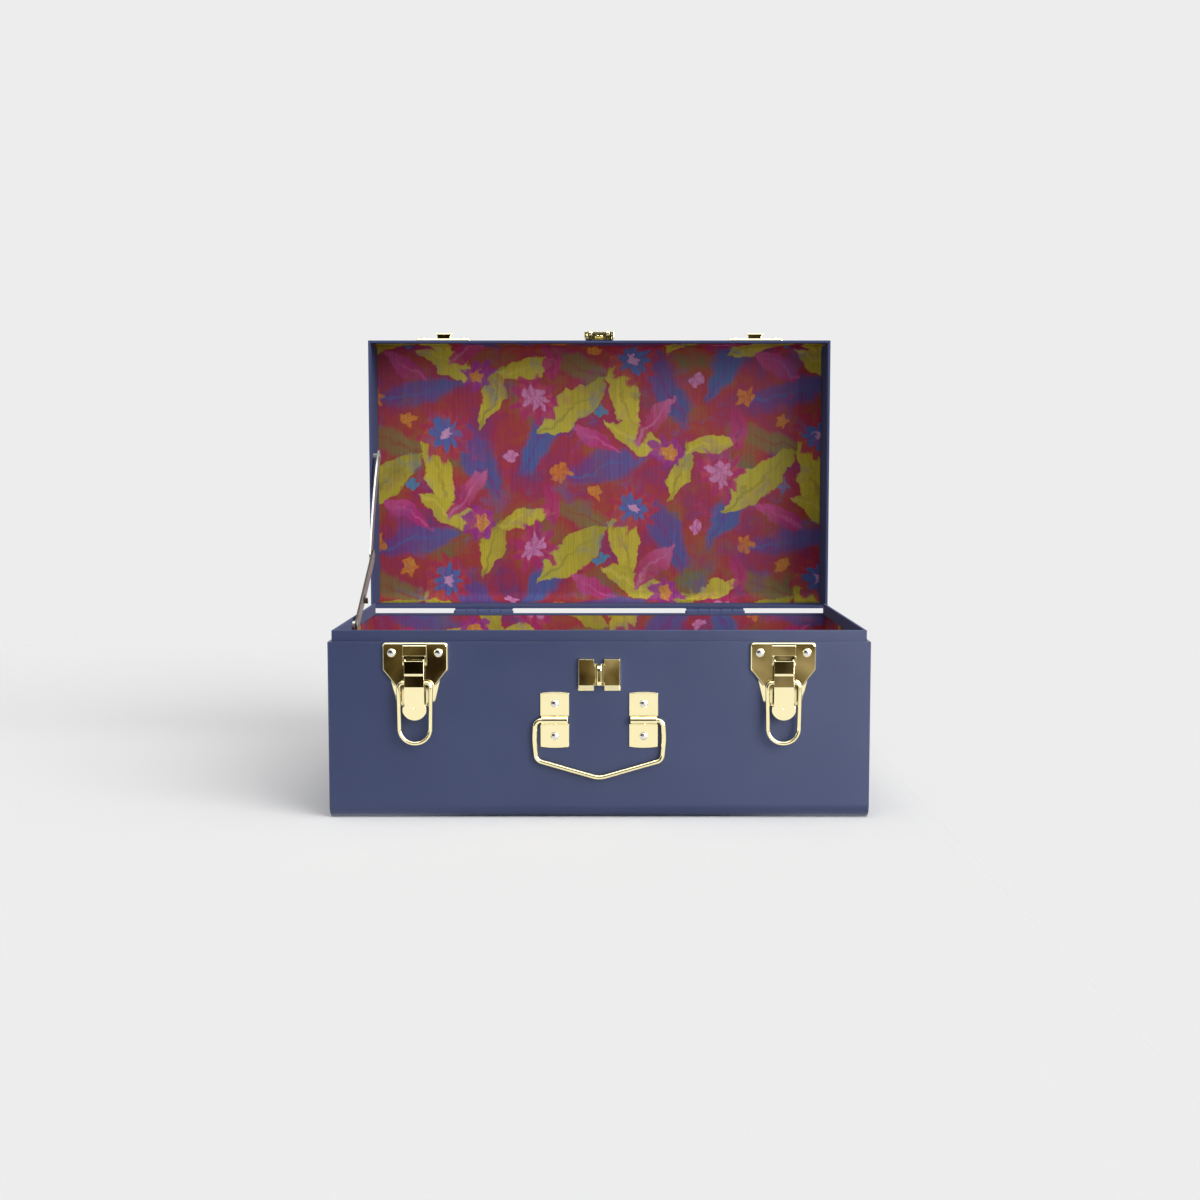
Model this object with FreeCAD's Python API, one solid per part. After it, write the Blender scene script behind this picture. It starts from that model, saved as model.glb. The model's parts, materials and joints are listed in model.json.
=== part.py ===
import FreeCAD, Part
import math
import os

V = FreeCAD.Vector
X_AXIS = V(1, 0, 0)
ORIGIN = V(0, 0, 0)

# Steel storage trunk, lid open upright, millimetres.
# Origin: centre of the bottom face, +Z up, front face towards -Y.

# Case
trunk_width = 400.0
trunk_depth = 232.5
body_height = 131.3
lid_height = 54.0
sheet = 1.0
bend_radius = 10.0
seam_edge_radius = 0.7
ledge_width = 2.8
neck_height = 8.5
neck_thickness = 2.0
neck_end_gap = 0.5
band_flange_depth = 9.0
rim_rounding = 0.45
back_hem_height = 1.9
lid_hem_height = 8.0
lid_seat_gap = 0.2
cut_overrun = 5.0

# Lining boards
lining_thickness = 0.8
lining_gap = 0.1
base_lining_drop = 1.4
lid_lining_front_drop = 25.0

# Back hinges
hinge_width = 50.0
hinge_inset = 98.65
hinge_leaf_height = 24.0
hinge_leaf_thickness = 1.5
hinge_pin_diameter = 4.0
hinge_pin_overhang = 1.0
hinge_pin_clearance = 0.05
hinge_barrel_gap = 0.3
hinge_knuckle_count = 5
hinge_knuckle_gap = 0.3
hinge_leaf_corner = 4.0
hinge_rivet_spread = 17.0
hinge_rivet_drop = 15.0

# Rivets: silver domes with plain shanks, set flush inside the sheet
rivet_shank_diameter = 3.2
rivet_hole_clearance = 0.05
latch_rivet_diameter = 6.4
latch_rivet_dome = 1.9
handle_rivet_diameter = 6.0
handle_rivet_dome = 1.7
flat_rivet_diameter = 6.0
flat_rivet_dome = 1.2

# Toggle latches
latch_inset = 64.7
latch_plate_width = 48.4
latch_plate_height = 48.3
latch_plate_top_gap = 0.0
latch_dish = 2.8
latch_metal = 1.0
plate_draft = 0.3
plate_bevel = 0.8
latch_rivet_spread = 17.2
latch_rivet_drop = 7.6
latch_rim_shares = (
    (1.0, 0.0, 0.05),
    (1.0, 0.425, 0.06),
    (0.775, 0.545, 0.12),
    (0.60, 0.905, 0.08),
    (0.43, 1.0, 0.05),
)
latch_face_shares = (
    (1.0, 0.0, 0.05),
    (1.0, 0.425, 0.06),
    (0.57, 0.70, 0.10),
    (0.49, 0.905, 0.06),
    (0.36, 0.97, 0.04),
)
bridge_width = 17.2
bridge_top_drop = 0.9
bridge_bottom_drop = 9.6
bridge_height = 6.4
bridge_slope = 1.0
bridge_rounding = 1.2
ear_thickness = 1.0
ear_radius = 2.6
lever_pin_diameter = 2.2
lever_pin_clearance = 0.05
lever_pin_drop = 14.2
lever_pin_height = 5.8
lever_width = 14.5
lever_metal = 1.0
lever_flange_radius = 2.5
lever_flange_back = 4.2
lever_skin_top_drop = 13.2
lever_crease_drop = 22.4
lever_step_drop = 23.9
lever_second_crease_drop = 32.2
lever_neck_drop = 45.9
lever_end_drop = 56.8
lever_top_height = 9.5
lever_crease_height = 10.4
lever_step_height = 9.8
lever_second_crease_height = 10.4
lever_neck_height = 9.0
lever_tip_height = 8.7
lever_tip_width = 17.4
lever_tip_side = 4.6
lever_bend_radius = 2.0
lever_step_radius = 0.6
lever_dimple_diameter = 1.4
lever_dimple_depth = 0.5
lever_dimple_drop = 47.8
bail_wire = 3.1
bail_hole_clearance = 0.05
bail_pivot_drop = 29.4
bail_pivot_height = 6.6
bail_width = 26.9
bail_taper = 0.7
bail_length = 46.35
bail_top_radius = 3.6
bail_end_inset = 5.6
bail_foot_share = 0.98

# Strike plates on the lid
strike_width = 47.8
strike_height = 22.0
strike_bottom_gap = 1.5
strike_dish = 1.7
strike_rivet_spread = 17.2
strike_rivet_rise = 8.0
strike_rim_shares = (
    (1.0, 0.0, 0.03),
    (1.0, 0.55, 0.10),
    (0.66, 1.0, 0.10),
)
hook_metal = 1.1
hook_floor_rise = 9.8
hook_lip_reach = 7.0
hook_lip_rise = 17.5
hook_lip_lean = 0.5
hook_lip_width = 16.7
hook_root_width = 11.2
hook_bend_radius = 1.4

# Hasp: staple on the body, hinged flap on the lid
staple_width = 31.9
staple_height = 24.5
staple_top_drop = 11.8
staple_pad_height = 3.4
staple_side_bevel = 0.9
staple_top_bevel = 0.8
staple_bottom_bevel = 4.4
staple_metal = 1.2
staple_corner_radius = 0.8
staple_notch_width = 7.6
staple_groove_width = 5.4
staple_notch_depth = 4.2
staple_loop_width = 3.4
staple_loop_height = 11.0
staple_loop_metal = 1.6
staple_loop_radius = 4.0
staple_loop_rounding = 0.7
hasp_pin_diameter = 2.4
hasp_pin_clearance = 0.05
hasp_pin_height = 5.9
hasp_pin_rise = 5.0
hasp_knuckle_radius = 2.4
hasp_knuckle_width = 17.8
hasp_lug_width = 2.6
hasp_ear_gap = 0.3
hasp_ear_thickness = 1.2
hasp_bracket_width = 24.0
hasp_bracket_rise = 3.0
hasp_bracket_height = 14.0
hasp_metal = 1.2
hasp_rivet_spread = 6.5
hasp_rivet_rise = 12.0
hasp_flap_width = 26.7
hasp_flap_length = 43.5
hasp_flap_clearance = 0.3
hasp_flap_shoulder = 4.0
hasp_flap_rim = 3.0
hasp_flap_corner = 3.0
hasp_slot_width = 7.5
hasp_slot_margin = 1.6
hasp_slot_end_share = 0.9

# Front handle
handle_plate_width = 21.3
handle_plate_height = 41.7
handle_plate_spacing = 65.6
handle_plate_metal = 1.2
handle_plate_arc = 0.9
handle_plate_rounding = 0.5
handle_knuckle_inset = 0.9
handle_axis_drop = 57.7
handle_axis_height = 2.7
handle_wire = 3.6
handle_wire_clearance = 0.08
handle_rivet_offset = 12.0
handle_width = 99.5
handle_bow = 0.9
handle_bow_drop = 14.0
handle_corner_drop = 29.8
handle_corner_inset = 1.6
handle_drop = 43.2
handle_end_inset = 2.0
handle_top_radius = 4.5
handle_bow_radius = 60.0
handle_corner_radius = 5.5
handle_tip_radius = 18.0

# Folding stay on the left
stay_base_setback = 138.5
stay_base_rise = 3.8
stay_lid_depth = 14.5
stay_lid_reach = 136.7
stay_lower_length = 109.0
stay_slack = 6.655
stay_arm_width = 11.0
stay_arm_metal = 1.5
stay_arm_gap = 0.4
stay_wall_gap = 0.9
stay_upper_bow = 5.0
stay_post_diameter = 5.4
stay_shank_diameter = 4.0
stay_shank_clearance = 0.05
stay_head_diameter = 7.4
stay_head_dome = 0.9
stay_window_length = 6.5
stay_window_width = 4.6
stay_window_place = 37.0
stay_tab_height = 3.6

# Places worked out from the sizes above
half_width = trunk_width / 2
front = -trunk_depth / 2
back = trunk_depth / 2
ledge = body_height
rim = ledge + lid_seat_gap
lid_top = ledge + lid_height
inner_half = half_width - sheet
neck_inner_half = half_width - ledge_width - neck_thickness
barrel_radius = hinge_pin_diameter / 2 + hinge_leaf_thickness
hinge_axis = V(0, back + hinge_barrel_gap + barrel_radius, ledge)
open_angle = -90.0
half_turn = 180.0
full_turn = 360.0
latch_top = ledge - latch_plate_top_gap
handle_axis_rise = ledge - handle_axis_drop
latch_centres = (latch_inset - half_width, half_width - latch_inset)
hinge_centres = (hinge_inset - half_width, half_width - hinge_inset)
handle_centres = (-handle_plate_spacing / 2, handle_plate_spacing / 2)
stay_base = V(0, back - stay_base_setback, ledge + stay_base_rise)
stay_lid = hinge_axis + V(0, stay_lid_depth, stay_lid_reach)
stay_upper_length = (stay_lid - stay_base).Length + stay_slack - stay_lower_length
sides = ("left", "right")
shank_radius = rivet_shank_diameter / 2
shank_hole_radius = shank_radius + rivet_hole_clearance


def out(height):
    """Y of a point that stands height in front of the front face."""
    return front - height


def box(x0, x1, y0, y1, z0, z1):
    return Part.makeBox(x1 - x0, y1 - y0, z1 - z0, V(x0, y0, z0))


def join(shapes):
    whole = shapes[0].multiFuse(shapes[1:])
    return whole.removeSplitter()


def rounded_edges(corners, place, closed=True):
    """Lines and arcs through corners (a, b, radius), set in space by place."""
    count = len(corners)
    turns = []
    for i, (a, b, radius) in enumerate(corners):
        here = V(a, b, 0)
        inner = closed or 0 < i < count - 1
        if radius == 0 or not inner:
            turns.append((here, here, here))
            continue
        before = V(*corners[i - 1][:2], 0)
        after = V(*corners[(i + 1) % count][:2], 0)
        to_before = (before - here).normalize()
        to_after = (after - here).normalize()
        half = to_before.getAngle(to_after) / 2
        reach = radius / math.tan(half)
        centre = here + (to_before + to_after).normalize() * (radius / math.sin(half))
        middle = centre + (here - centre).normalize() * radius
        turns.append((here + to_before * reach, middle, here + to_after * reach))
    edges = []
    for i, (start, middle, end) in enumerate(turns):
        if start != end:
            edges.append(Part.Arc(place(start), place(middle), place(end)).toShape())
        if closed or i < count - 1:
            following = turns[(i + 1) % count][0]
            if following != end:
                edges.append(Part.makeLine(place(end), place(following)))
    return edges


def prism_x(corners, x0, x1):
    """Profile of (y, z, radius) corners, drawn out along X."""
    wire = Part.Wire(rounded_edges(corners, lambda p: V(x0, p.x, p.y)))
    return Part.Face(wire).extrude(V(x1 - x0, 0, 0))


def prism_y(corners, y0, y1):
    """Front outline of (x, z, radius) corners, drawn out along Y."""
    wire = Part.Wire(rounded_edges(corners, lambda p: V(p.x, y0, p.y)))
    return Part.Face(wire).extrude(V(0, y1 - y0, 0))


def rod_x(radius, x0, x1, y, z):
    return Part.makeCylinder(radius, x1 - x0, V(x0, y, z), X_AXIS)


def loft_y(near, near_y, far, far_y):
    """Ruled skin between two front outlines at two depths."""
    wires = []
    for corners, y in ((near, near_y), (far, far_y)):
        wires.append(Part.Wire(rounded_edges(corners, lambda p, y=y: V(p.x, y, p.y))))
    return Part.makeLoft(wires, True, True)


def mirrored(shares, half, height, top, down=True):
    """Closed outline, alike left and right, from shares of its half width and height."""
    sign = -1 if down else 1
    right = []
    for across, along, radius in shares:
        right.append((across * half, top + sign * along * height, radius * 2 * half))
    left = [(-x, z, radius) for x, z, radius in reversed(right)]
    return right + left if down else list(reversed(right + left))


def shifted(corners, dx):
    return [(x + dx, z, radius) for x, z, radius in corners]


def wire_rod(corners, place, diameter):
    """Round wire bent along a path of corners."""
    path = Part.Wire(rounded_edges(corners, place, closed=False))
    start = path.Vertexes[0].Point
    first = path.Edges[0]
    along = first.tangentAt(first.FirstParameter)
    ring = Part.Wire(Part.makeCircle(diameter / 2, start, along))
    return path.makePipeShell([ring], True, False)


def rivet(diameter, dome, grip, place, direction):
    """Domed head on a surface at place, with its shank behind it."""
    radius = diameter / 2
    sphere = (radius**2 + dome**2) / (2 * dome)
    slope = math.asin(radius / sphere) / 2
    crown = V(sphere * math.sin(slope), 0, dome - sphere * (1 - math.cos(slope)))
    profile = Part.Wire([
        Part.makeLine(V(0, 0, -grip), V(shank_radius, 0, -grip)),
        Part.makeLine(V(shank_radius, 0, -grip), V(shank_radius, 0, 0)),
        Part.makeLine(V(shank_radius, 0, 0), V(radius, 0, 0)),
        Part.Arc(V(radius, 0, 0), crown, V(0, 0, dome)).toShape(),
        Part.makeLine(V(0, 0, dome), V(0, 0, -grip)),
    ])
    solid = Part.Face(profile).revolve(ORIGIN, V(0, 0, 1), full_turn)
    solid.Placement = FreeCAD.Placement(place, FreeCAD.Rotation(V(0, 0, 1), direction))
    return solid


def hole_y(x, z, y0, y1):
    return Part.makeCylinder(shank_hole_radius, y1 - y0, V(x, y0, z), V(0, 1, 0))


def opened(shape):
    """A lid piece, drawn with the lid shut, swung to the open lid's place."""
    turned = shape.copy()
    turned.rotate(hinge_axis, X_AXIS, open_angle)
    return turned


# Places of the rivets, as (x, z), with the lid shut
latch_rivet_places = []
strike_rivet_places = []
for latch_x in latch_centres:
    for side in (-1, 1):
        latch_rivet_places.append((latch_x + side * latch_rivet_spread, latch_top - latch_rivet_drop))
        strike_rivet_places.append((latch_x + side * strike_rivet_spread, rim + strike_rivet_rise))
handle_rivet_places = []
for handle_x in handle_centres:
    for side in (-1, 1):
        handle_rivet_places.append((handle_x, handle_axis_rise + side * handle_rivet_offset))
hasp_rivet_places = [(side * hasp_rivet_spread, rim + hasp_rivet_rise) for side in (-1, 1)]
hinge_rivet_places = {}
for half, side in (("base", -1), ("lid", 1)):
    hinge_rivet_places[half] = []
    for hinge_x in hinge_centres:
        for step in (-1, 1):
            x = hinge_x + step * hinge_rivet_spread
            hinge_rivet_places[half].append((x, ledge + side * hinge_rivet_drop))


def base_outline(inset=0, top=body_height):
    """Side profile of the body: open at the top, rounded below at front and back."""
    radius = bend_radius - inset
    return [
        (front + inset, top, 0),
        (front + inset, inset, radius),
        (back - inset, inset, radius),
        (back - inset, top, 0),
    ]


def lid_outline(inset=0, bottom=rim):
    """Side profile of the lid, drawn shut."""
    radius = bend_radius - inset
    return [
        (front + inset, bottom, 0),
        (front + inset, lid_top - inset, radius),
        (back - inset, lid_top - inset, radius),
        (back - inset, bottom, 0),
    ]


def sheet_between(outer, inner):
    return outer + list(reversed(inner))


def base_wrap():
    """Front, bottom and back bent from one sheet, with the back rim folded in."""
    wrap = prism_x(sheet_between(base_outline(), base_outline(sheet)), -inner_half, inner_half)
    hem = box(-inner_half, inner_half, back - 2 * sheet, back - sheet, ledge - back_hem_height, ledge)
    wrap = join([wrap, hem])
    holes = []
    for x, z in latch_rivet_places + handle_rivet_places:
        holes.append(hole_y(x, z, front - cut_overrun, front + cut_overrun))
    for x, z in hinge_rivet_places["base"]:
        holes.append(hole_y(x, z, back - cut_overrun, back + cut_overrun))
    return wrap.cut(Part.makeCompound(holes))


def end_plate(outline, side):
    """Flat end of the body or lid, its outer edge eased along the seam."""
    x0, x1 = (-half_width, -inner_half) if side < 0 else (inner_half, half_width)
    plate = prism_x(outline, x0, x1)
    face_x = side * half_width
    eased = []
    for edge in plate.Edges:
        box_x = edge.BoundBox
        on_face = abs(box_x.XMin - face_x) < rim_rounding and box_x.XLength < rim_rounding
        rim_edge = box_x.ZLength < rim_rounding and abs(box_x.ZMin - outline[0][1]) < rim_rounding
        if on_face and not rim_edge:
            eased.append(edge)
    return plate.makeFillet(seam_edge_radius, eased)


def three_sided(inset_out, inset_in, z0, z1):
    """A wall round the front and both ends, open at the back."""
    end = back - sheet
    outer = box(inset_out - half_width, half_width - inset_out, front + inset_out, end, z0, z1)
    inner = box(inset_in - half_width, half_width - inset_in, front + inset_in, end + cut_overrun,
                z0 - cut_overrun, z1 + cut_overrun)
    return outer.cut(inner)


def lip_band():
    """Inner band: flange inside the wall, ledge, and folded neck that the lid closes over."""
    inside = ledge_width + neck_thickness
    neck_end = back - 2 * sheet - neck_end_gap
    band = join([
        three_sided(sheet, 2 * sheet, ledge - band_flange_depth, ledge),
        three_sided(sheet, inside, ledge - sheet, ledge),
        three_sided(ledge_width, inside, ledge - sheet, ledge + neck_height),
    ])
    band = band.cut(box(-half_width, half_width, neck_end, back + cut_overrun, 0, lid_top))
    top = ledge + neck_height
    crest = []
    for edge in band.Edges:
        level = edge.BoundBox
        if level.ZLength < rim_rounding and abs(level.ZMax - top) < rim_rounding:
            if level.YMax < neck_end - rim_rounding or level.YLength > neck_thickness:
                crest.append(edge)
    band = band.makeFillet(rim_rounding, crest)
    shank = stay_shank_diameter / 2 + stay_shank_clearance
    return band.cut(rod_x(shank, -half_width, -neck_inner_half + cut_overrun, stay_base.y, stay_base.z))


def base_lining_wrap():
    """Card lining over the front, floor and back inside."""
    near = 2 * sheet + lining_gap
    low = sheet + lining_gap
    top = ledge - base_lining_drop
    back_top = ledge - back_hem_height - lining_gap
    radius = bend_radius - low
    skins = []
    for inset in (0, lining_thickness):
        skins.append([
            (front + near + inset, top, 0),
            (front + near + inset, low + inset, radius - inset),
            (back - low - inset, low + inset, radius - inset),
            (back - low - inset, back_top, 0),
        ])
    reach = half_width - 2 * sheet - lining_gap
    return prism_x(sheet_between(*skins), -reach, reach)


def base_lining_end(side):
    """Card lining on one end wall, inside the wrapped lining."""
    near = 2 * sheet + lining_thickness + 2 * lining_gap
    low = sheet + lining_thickness + 2 * lining_gap
    top = ledge - base_lining_drop
    radius = bend_radius - low
    outline = [
        (front + near, top, 0),
        (front + near, low, radius),
        (back - low, low, radius),
        (back - low, top, 0),
    ]
    outer = half_width - 2 * sheet - lining_gap
    inner = outer - lining_thickness
    x0, x1 = (inner, outer) if side > 0 else (-outer, -inner)
    return prism_x(outline, x0, x1)


def lid_wrap():
    """Front, top and back of the lid bent from one sheet, rims folded in."""
    reach = inner_half - sheet
    wrap = prism_x(sheet_between(lid_outline(), lid_outline(sheet)), -inner_half, inner_half)
    front_hem = box(-reach, reach, front + sheet, front + 2 * sheet, rim, rim + lid_hem_height)
    back_hem = box(-reach, reach, back - 2 * sheet, back - sheet, rim, rim + lid_hem_height)
    wrap = join([wrap, front_hem, back_hem])
    holes = []
    for x, z in strike_rivet_places + hasp_rivet_places:
        holes.append(hole_y(x, z, front - cut_overrun, front + cut_overrun))
    for x, z in hinge_rivet_places["lid"]:
        holes.append(hole_y(x, z, back - cut_overrun, back + cut_overrun))
    return wrap.cut(Part.makeCompound(holes))


def lid_end(side):
    plate = end_plate(lid_outline(), side)
    reach = inner_half - sheet
    x0, x1 = (reach, inner_half) if side > 0 else (-inner_half, -reach)
    hem = box(x0, x1, front + sheet, back - sheet, rim, rim + lid_hem_height)
    plate = join([plate, hem])
    if side > 0:
        return plate
    shank = stay_shank_diameter / 2 + stay_shank_clearance
    y, z = stay_lid_shut()
    return plate.cut(rod_x(shank, -half_width - cut_overrun, -reach, y, z))


def lid_lining():
    """Card lining over the inside of the lid's top and down its front."""
    low = sheet + lining_gap
    front_end = rim + lid_lining_front_drop
    back_end = lid_top - bend_radius
    corners = []
    for inset in (low, low + lining_thickness):
        radius = bend_radius - inset
        corners.append([
            (front + inset, front_end, 0),
            (front + inset, lid_top - inset, radius),
            (back - inset, lid_top - inset, radius),
            (back - inset, back_end, 0),
        ])
    reach = inner_half - lining_gap
    return prism_x(sheet_between(*corners), -reach, reach)


def knuckle_spans(centre, wanted):
    """Stretches of the hinge barrel that belong to one leaf."""
    pitch = hinge_width / hinge_knuckle_count
    start = centre - hinge_width / 2
    spans = []
    for i in range(hinge_knuckle_count):
        if i % 2 == wanted:
            spans.append((start + i * pitch, start + (i + 1) * pitch))
    return spans


def hinge_leaf(centre, half):
    """One leaf, with its rolled knuckles: base leaf hangs below the axis, lid leaf stands above."""
    side = -1 if half == "base" else 1
    mine, other = (0, 1) if half == "base" else (1, 0)
    near = ledge + side * sheet
    far = ledge + side * hinge_leaf_height
    x0, x1 = centre - hinge_width / 2, centre + hinge_width / 2
    corner = hinge_leaf_corner
    plate = prism_y([(x0, near, 0), (x1, near, 0), (x1, far, corner), (x0, far, corner)],
                    back, back + hinge_leaf_thickness)
    solids = [plate]
    inset = hinge_knuckle_gap / 2
    for start, end in knuckle_spans(centre, mine):
        solids.append(rod_x(barrel_radius, start + inset, end - inset, hinge_axis.y, hinge_axis.z))
    leaf = join(solids)
    cuts = [rod_x(hinge_pin_diameter / 2 + hinge_pin_clearance, x0 - cut_overrun, x1 + cut_overrun,
                  hinge_axis.y, hinge_axis.z)]
    for start, end in knuckle_spans(centre, other):
        clear = barrel_radius + hinge_knuckle_gap
        cuts.append(rod_x(clear, start - inset, end + inset, hinge_axis.y, hinge_axis.z))
    for x, z in hinge_rivet_places[half]:
        cuts.append(hole_y(x, z, back - cut_overrun, back + cut_overrun))
    return leaf.cut(Part.makeCompound(cuts))


def hinge_pin(centre):
    reach = hinge_width / 2 + hinge_pin_overhang
    return rod_x(hinge_pin_diameter / 2, centre - reach, centre + reach, hinge_axis.y, hinge_axis.z)


def hinge_rivets(half):
    grip = sheet + hinge_leaf_thickness
    seat = back + hinge_leaf_thickness
    return [rivet(flat_rivet_diameter, flat_rivet_dome, grip, V(x, seat, z), V(0, 1, 0))
            for x, z in hinge_rivet_places[half]]


def front_rivets(places, diameter, dome, grip):
    seat = out(grip - sheet)
    return [rivet(diameter, dome, grip, V(x, seat, z), V(0, -1, 0)) for x, z in places]


def drawn_in(corners, by):
    """An outline set in by an even distance, corner by corner; corners run clockwise."""
    small = []
    count = len(corners)
    for i, (x, z, radius) in enumerate(corners):
        sides = []
        for a, b in ((corners[i - 1], corners[i]), (corners[i], corners[(i + 1) % count])):
            run = V(b[0] - a[0], b[1] - a[1], 0).normalize()
            sides.append(V(run.y, -run.x, 0))
        before, after = sides
        step = (before + after) * (by / (1 + before.dot(after)))
        small.append((x + step.x, z + step.y, radius))
    return small


def blended(start, end, share):
    """An outline part of the way from one outline to another with the same corners."""
    return [tuple(a + (b - a) * share for a, b in zip(*pair)) for pair in zip(start, end)]


def dished_plate(rim_line, face_line, dish, metal):
    """Pressed plate: a flat face with a bevelled edge, held off the wall by a drafted skirt."""
    levels = ((0, 0), (plate_draft, dish - plate_bevel), (plate_draft + plate_bevel, dish))
    wires = []
    for inset, height in levels:
        corners = drawn_in(blended(rim_line, face_line, height / dish), inset)
        y = out(height)
        wires.append(Part.Wire(rounded_edges(corners, lambda p, y=y: V(p.x, y, p.y))))
    skin = Part.makeLoft(wires, True, True)
    inner_face = drawn_in(face_line, metal + plate_draft + plate_bevel)
    hollow = loft_y(drawn_in(rim_line, metal), front, inner_face, out(dish - metal))
    return skin.cut(hollow)


def latch_plate(centre):
    """Shield-shaped latch plate with the bridge and ears that hold the lever's pin."""
    half = latch_plate_width / 2
    lines = []
    for shares in (latch_rim_shares, latch_face_shares):
        lines.append(shifted(mirrored(shares, half, latch_plate_height, latch_top), centre))
    plate = dished_plate(*lines, latch_dish, latch_metal)
    reach = bridge_width / 2
    face = out(latch_dish)
    crown = out(bridge_height)
    high = latch_top - bridge_top_drop
    low = latch_top - bridge_bottom_drop
    bridge = prism_x([(face, high, 0), (crown, high - bridge_slope, bridge_rounding),
                      (crown, low, 0), (face, low, 0)],
                     centre - reach, centre + reach)
    under = prism_x([(face, high - bridge_slope, 0),
                     (crown + latch_metal, high - bridge_slope - latch_metal, 0),
                     (crown + latch_metal, low - cut_overrun, 0), (face, low - cut_overrun, 0)],
                    centre - reach + ear_thickness, centre + reach - ear_thickness)
    pin_y = out(lever_pin_height)
    pin_z = latch_top - lever_pin_drop
    ears = []
    for x0 in (centre - reach, centre + reach - ear_thickness):
        x1 = x0 + ear_thickness
        ears.append(box(x0, x1, pin_y - ear_radius, face, pin_z, low))
        ears.append(box(x0, x1, pin_y, face, pin_z - ear_radius, low))
        ears.append(rod_x(ear_radius, x0, x1, pin_y, pin_z))
    plate = join([plate, bridge.cut(under)] + ears)
    span = reach + cut_overrun
    cuts = [rod_x(lever_pin_diameter / 2, centre - span, centre + span, pin_y, pin_z)]
    for x, z in latch_rivet_places:
        cuts.append(hole_y(x, z, out(latch_dish + cut_overrun), front + cut_overrun))
    return plate.cut(Part.makeCompound(cuts))


def latch_pin(centre):
    reach = bridge_width / 2
    return rod_x(lever_pin_diameter / 2, centre - reach, centre + reach,
                 out(lever_pin_height), latch_top - lever_pin_drop)


def latch_lever(centre):
    """Pressed lever: creased skin, finger tip, and two flanges for the pin and the bail."""
    tops = [(lever_top_height, lever_skin_top_drop, 0),
            (lever_crease_height, lever_crease_drop, lever_step_radius),
            (lever_step_height, lever_step_drop, lever_step_radius),
            (lever_second_crease_height, lever_second_crease_drop, lever_bend_radius),
            (lever_neck_height, lever_neck_drop, lever_bend_radius),
            (lever_tip_height, lever_end_drop, 0)]
    outer = [(out(height), latch_top - drop, radius) for height, drop, radius in tops]
    inner = [(out(height - lever_metal), latch_top - drop, radius) for height, drop, radius in tops]
    reach = lever_width / 2
    tip = lever_tip_width / 2
    skin = prism_x(sheet_between(outer, inner), centre - tip, centre + tip)
    top = latch_top - lever_skin_top_drop
    neck = latch_top - lever_neck_drop
    end = latch_top - lever_end_drop
    shoulder = neck - lever_tip_side
    right = [(reach, top, 0), (reach, neck, 0), (tip, neck - (tip - reach), 0), (tip, shoulder, 0)]
    edges = rounded_edges(right, lambda p: V(centre + p.x, 0, p.y), closed=False)
    round_end = Part.Arc(V(centre + tip, 0, shoulder), V(centre, 0, end), V(centre - tip, 0, shoulder))
    edges.append(round_end.toShape())
    left = [(-x, z, radius) for x, z, radius in reversed(right)]
    edges += rounded_edges(left, lambda p: V(centre + p.x, 0, p.y), closed=False)
    edges.append(Part.makeLine(V(centre - reach, 0, top), V(centre + reach, 0, top)))
    stencil = Part.Face(Part.Wire(edges)).extrude(V(0, -half_width, 0))
    stencil.translate(V(0, front + half_width / 2, 0))
    skin = skin.common(stencil)
    pin_y = out(lever_pin_height)
    pin_z = latch_top - lever_pin_drop
    bail_z = latch_top - bail_pivot_drop
    bail_y = out(bail_pivot_height)
    low = bail_z - lever_flange_radius
    under_skin = out(lever_top_height - lever_metal / 2)
    back_y = out(lever_flange_back)
    solids = [skin]
    for x0 in (centre - reach, centre + reach - lever_metal):
        x1 = x0 + lever_metal
        corners = [(under_skin, pin_z, 0), (pin_y + lever_flange_radius, pin_z, 0),
                   (back_y, pin_z - 2 * lever_flange_radius, 0), (back_y, low, lever_flange_radius),
                   (under_skin, low - 2 * lever_flange_radius, 0)]
        solids.append(prism_x(corners, x0, x1))
        solids.append(rod_x(lever_flange_radius, x0, x1, pin_y, pin_z))
    lever = join(solids)
    ends = (centre - half_width, centre + half_width)
    cuts = [
        rod_x(lever_pin_diameter / 2 + lever_pin_clearance, *ends, pin_y, pin_z),
        rod_x(bail_wire / 2 + bail_hole_clearance, *ends, bail_y, bail_z),
        Part.makeSphere(lever_dimple_diameter / 2,
                        V(centre, out(lever_neck_height) - lever_dimple_diameter / 2 + lever_dimple_depth,
                          latch_top - lever_dimple_drop)),
    ]
    return lever.cut(Part.makeCompound(cuts))


def latch_bail(centre):
    """Wire loop that hangs from the lever and hooks over the lid's strike."""
    reach = (bail_width - bail_wire) / 2
    foot = reach - bail_taper
    drop = bail_length - bail_wire / 2
    right = [(bail_end_inset, 0, 0), (reach, 0, bail_top_radius), (foot, -drop, foot * bail_foot_share)]
    left = [(-x, z, radius) for x, z, radius in reversed(right)]
    y = out(bail_pivot_height)
    z0 = latch_top - bail_pivot_drop
    return wire_rod(right + left, lambda p: V(centre + p.x, y, z0 + p.y), bail_wire)


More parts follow.
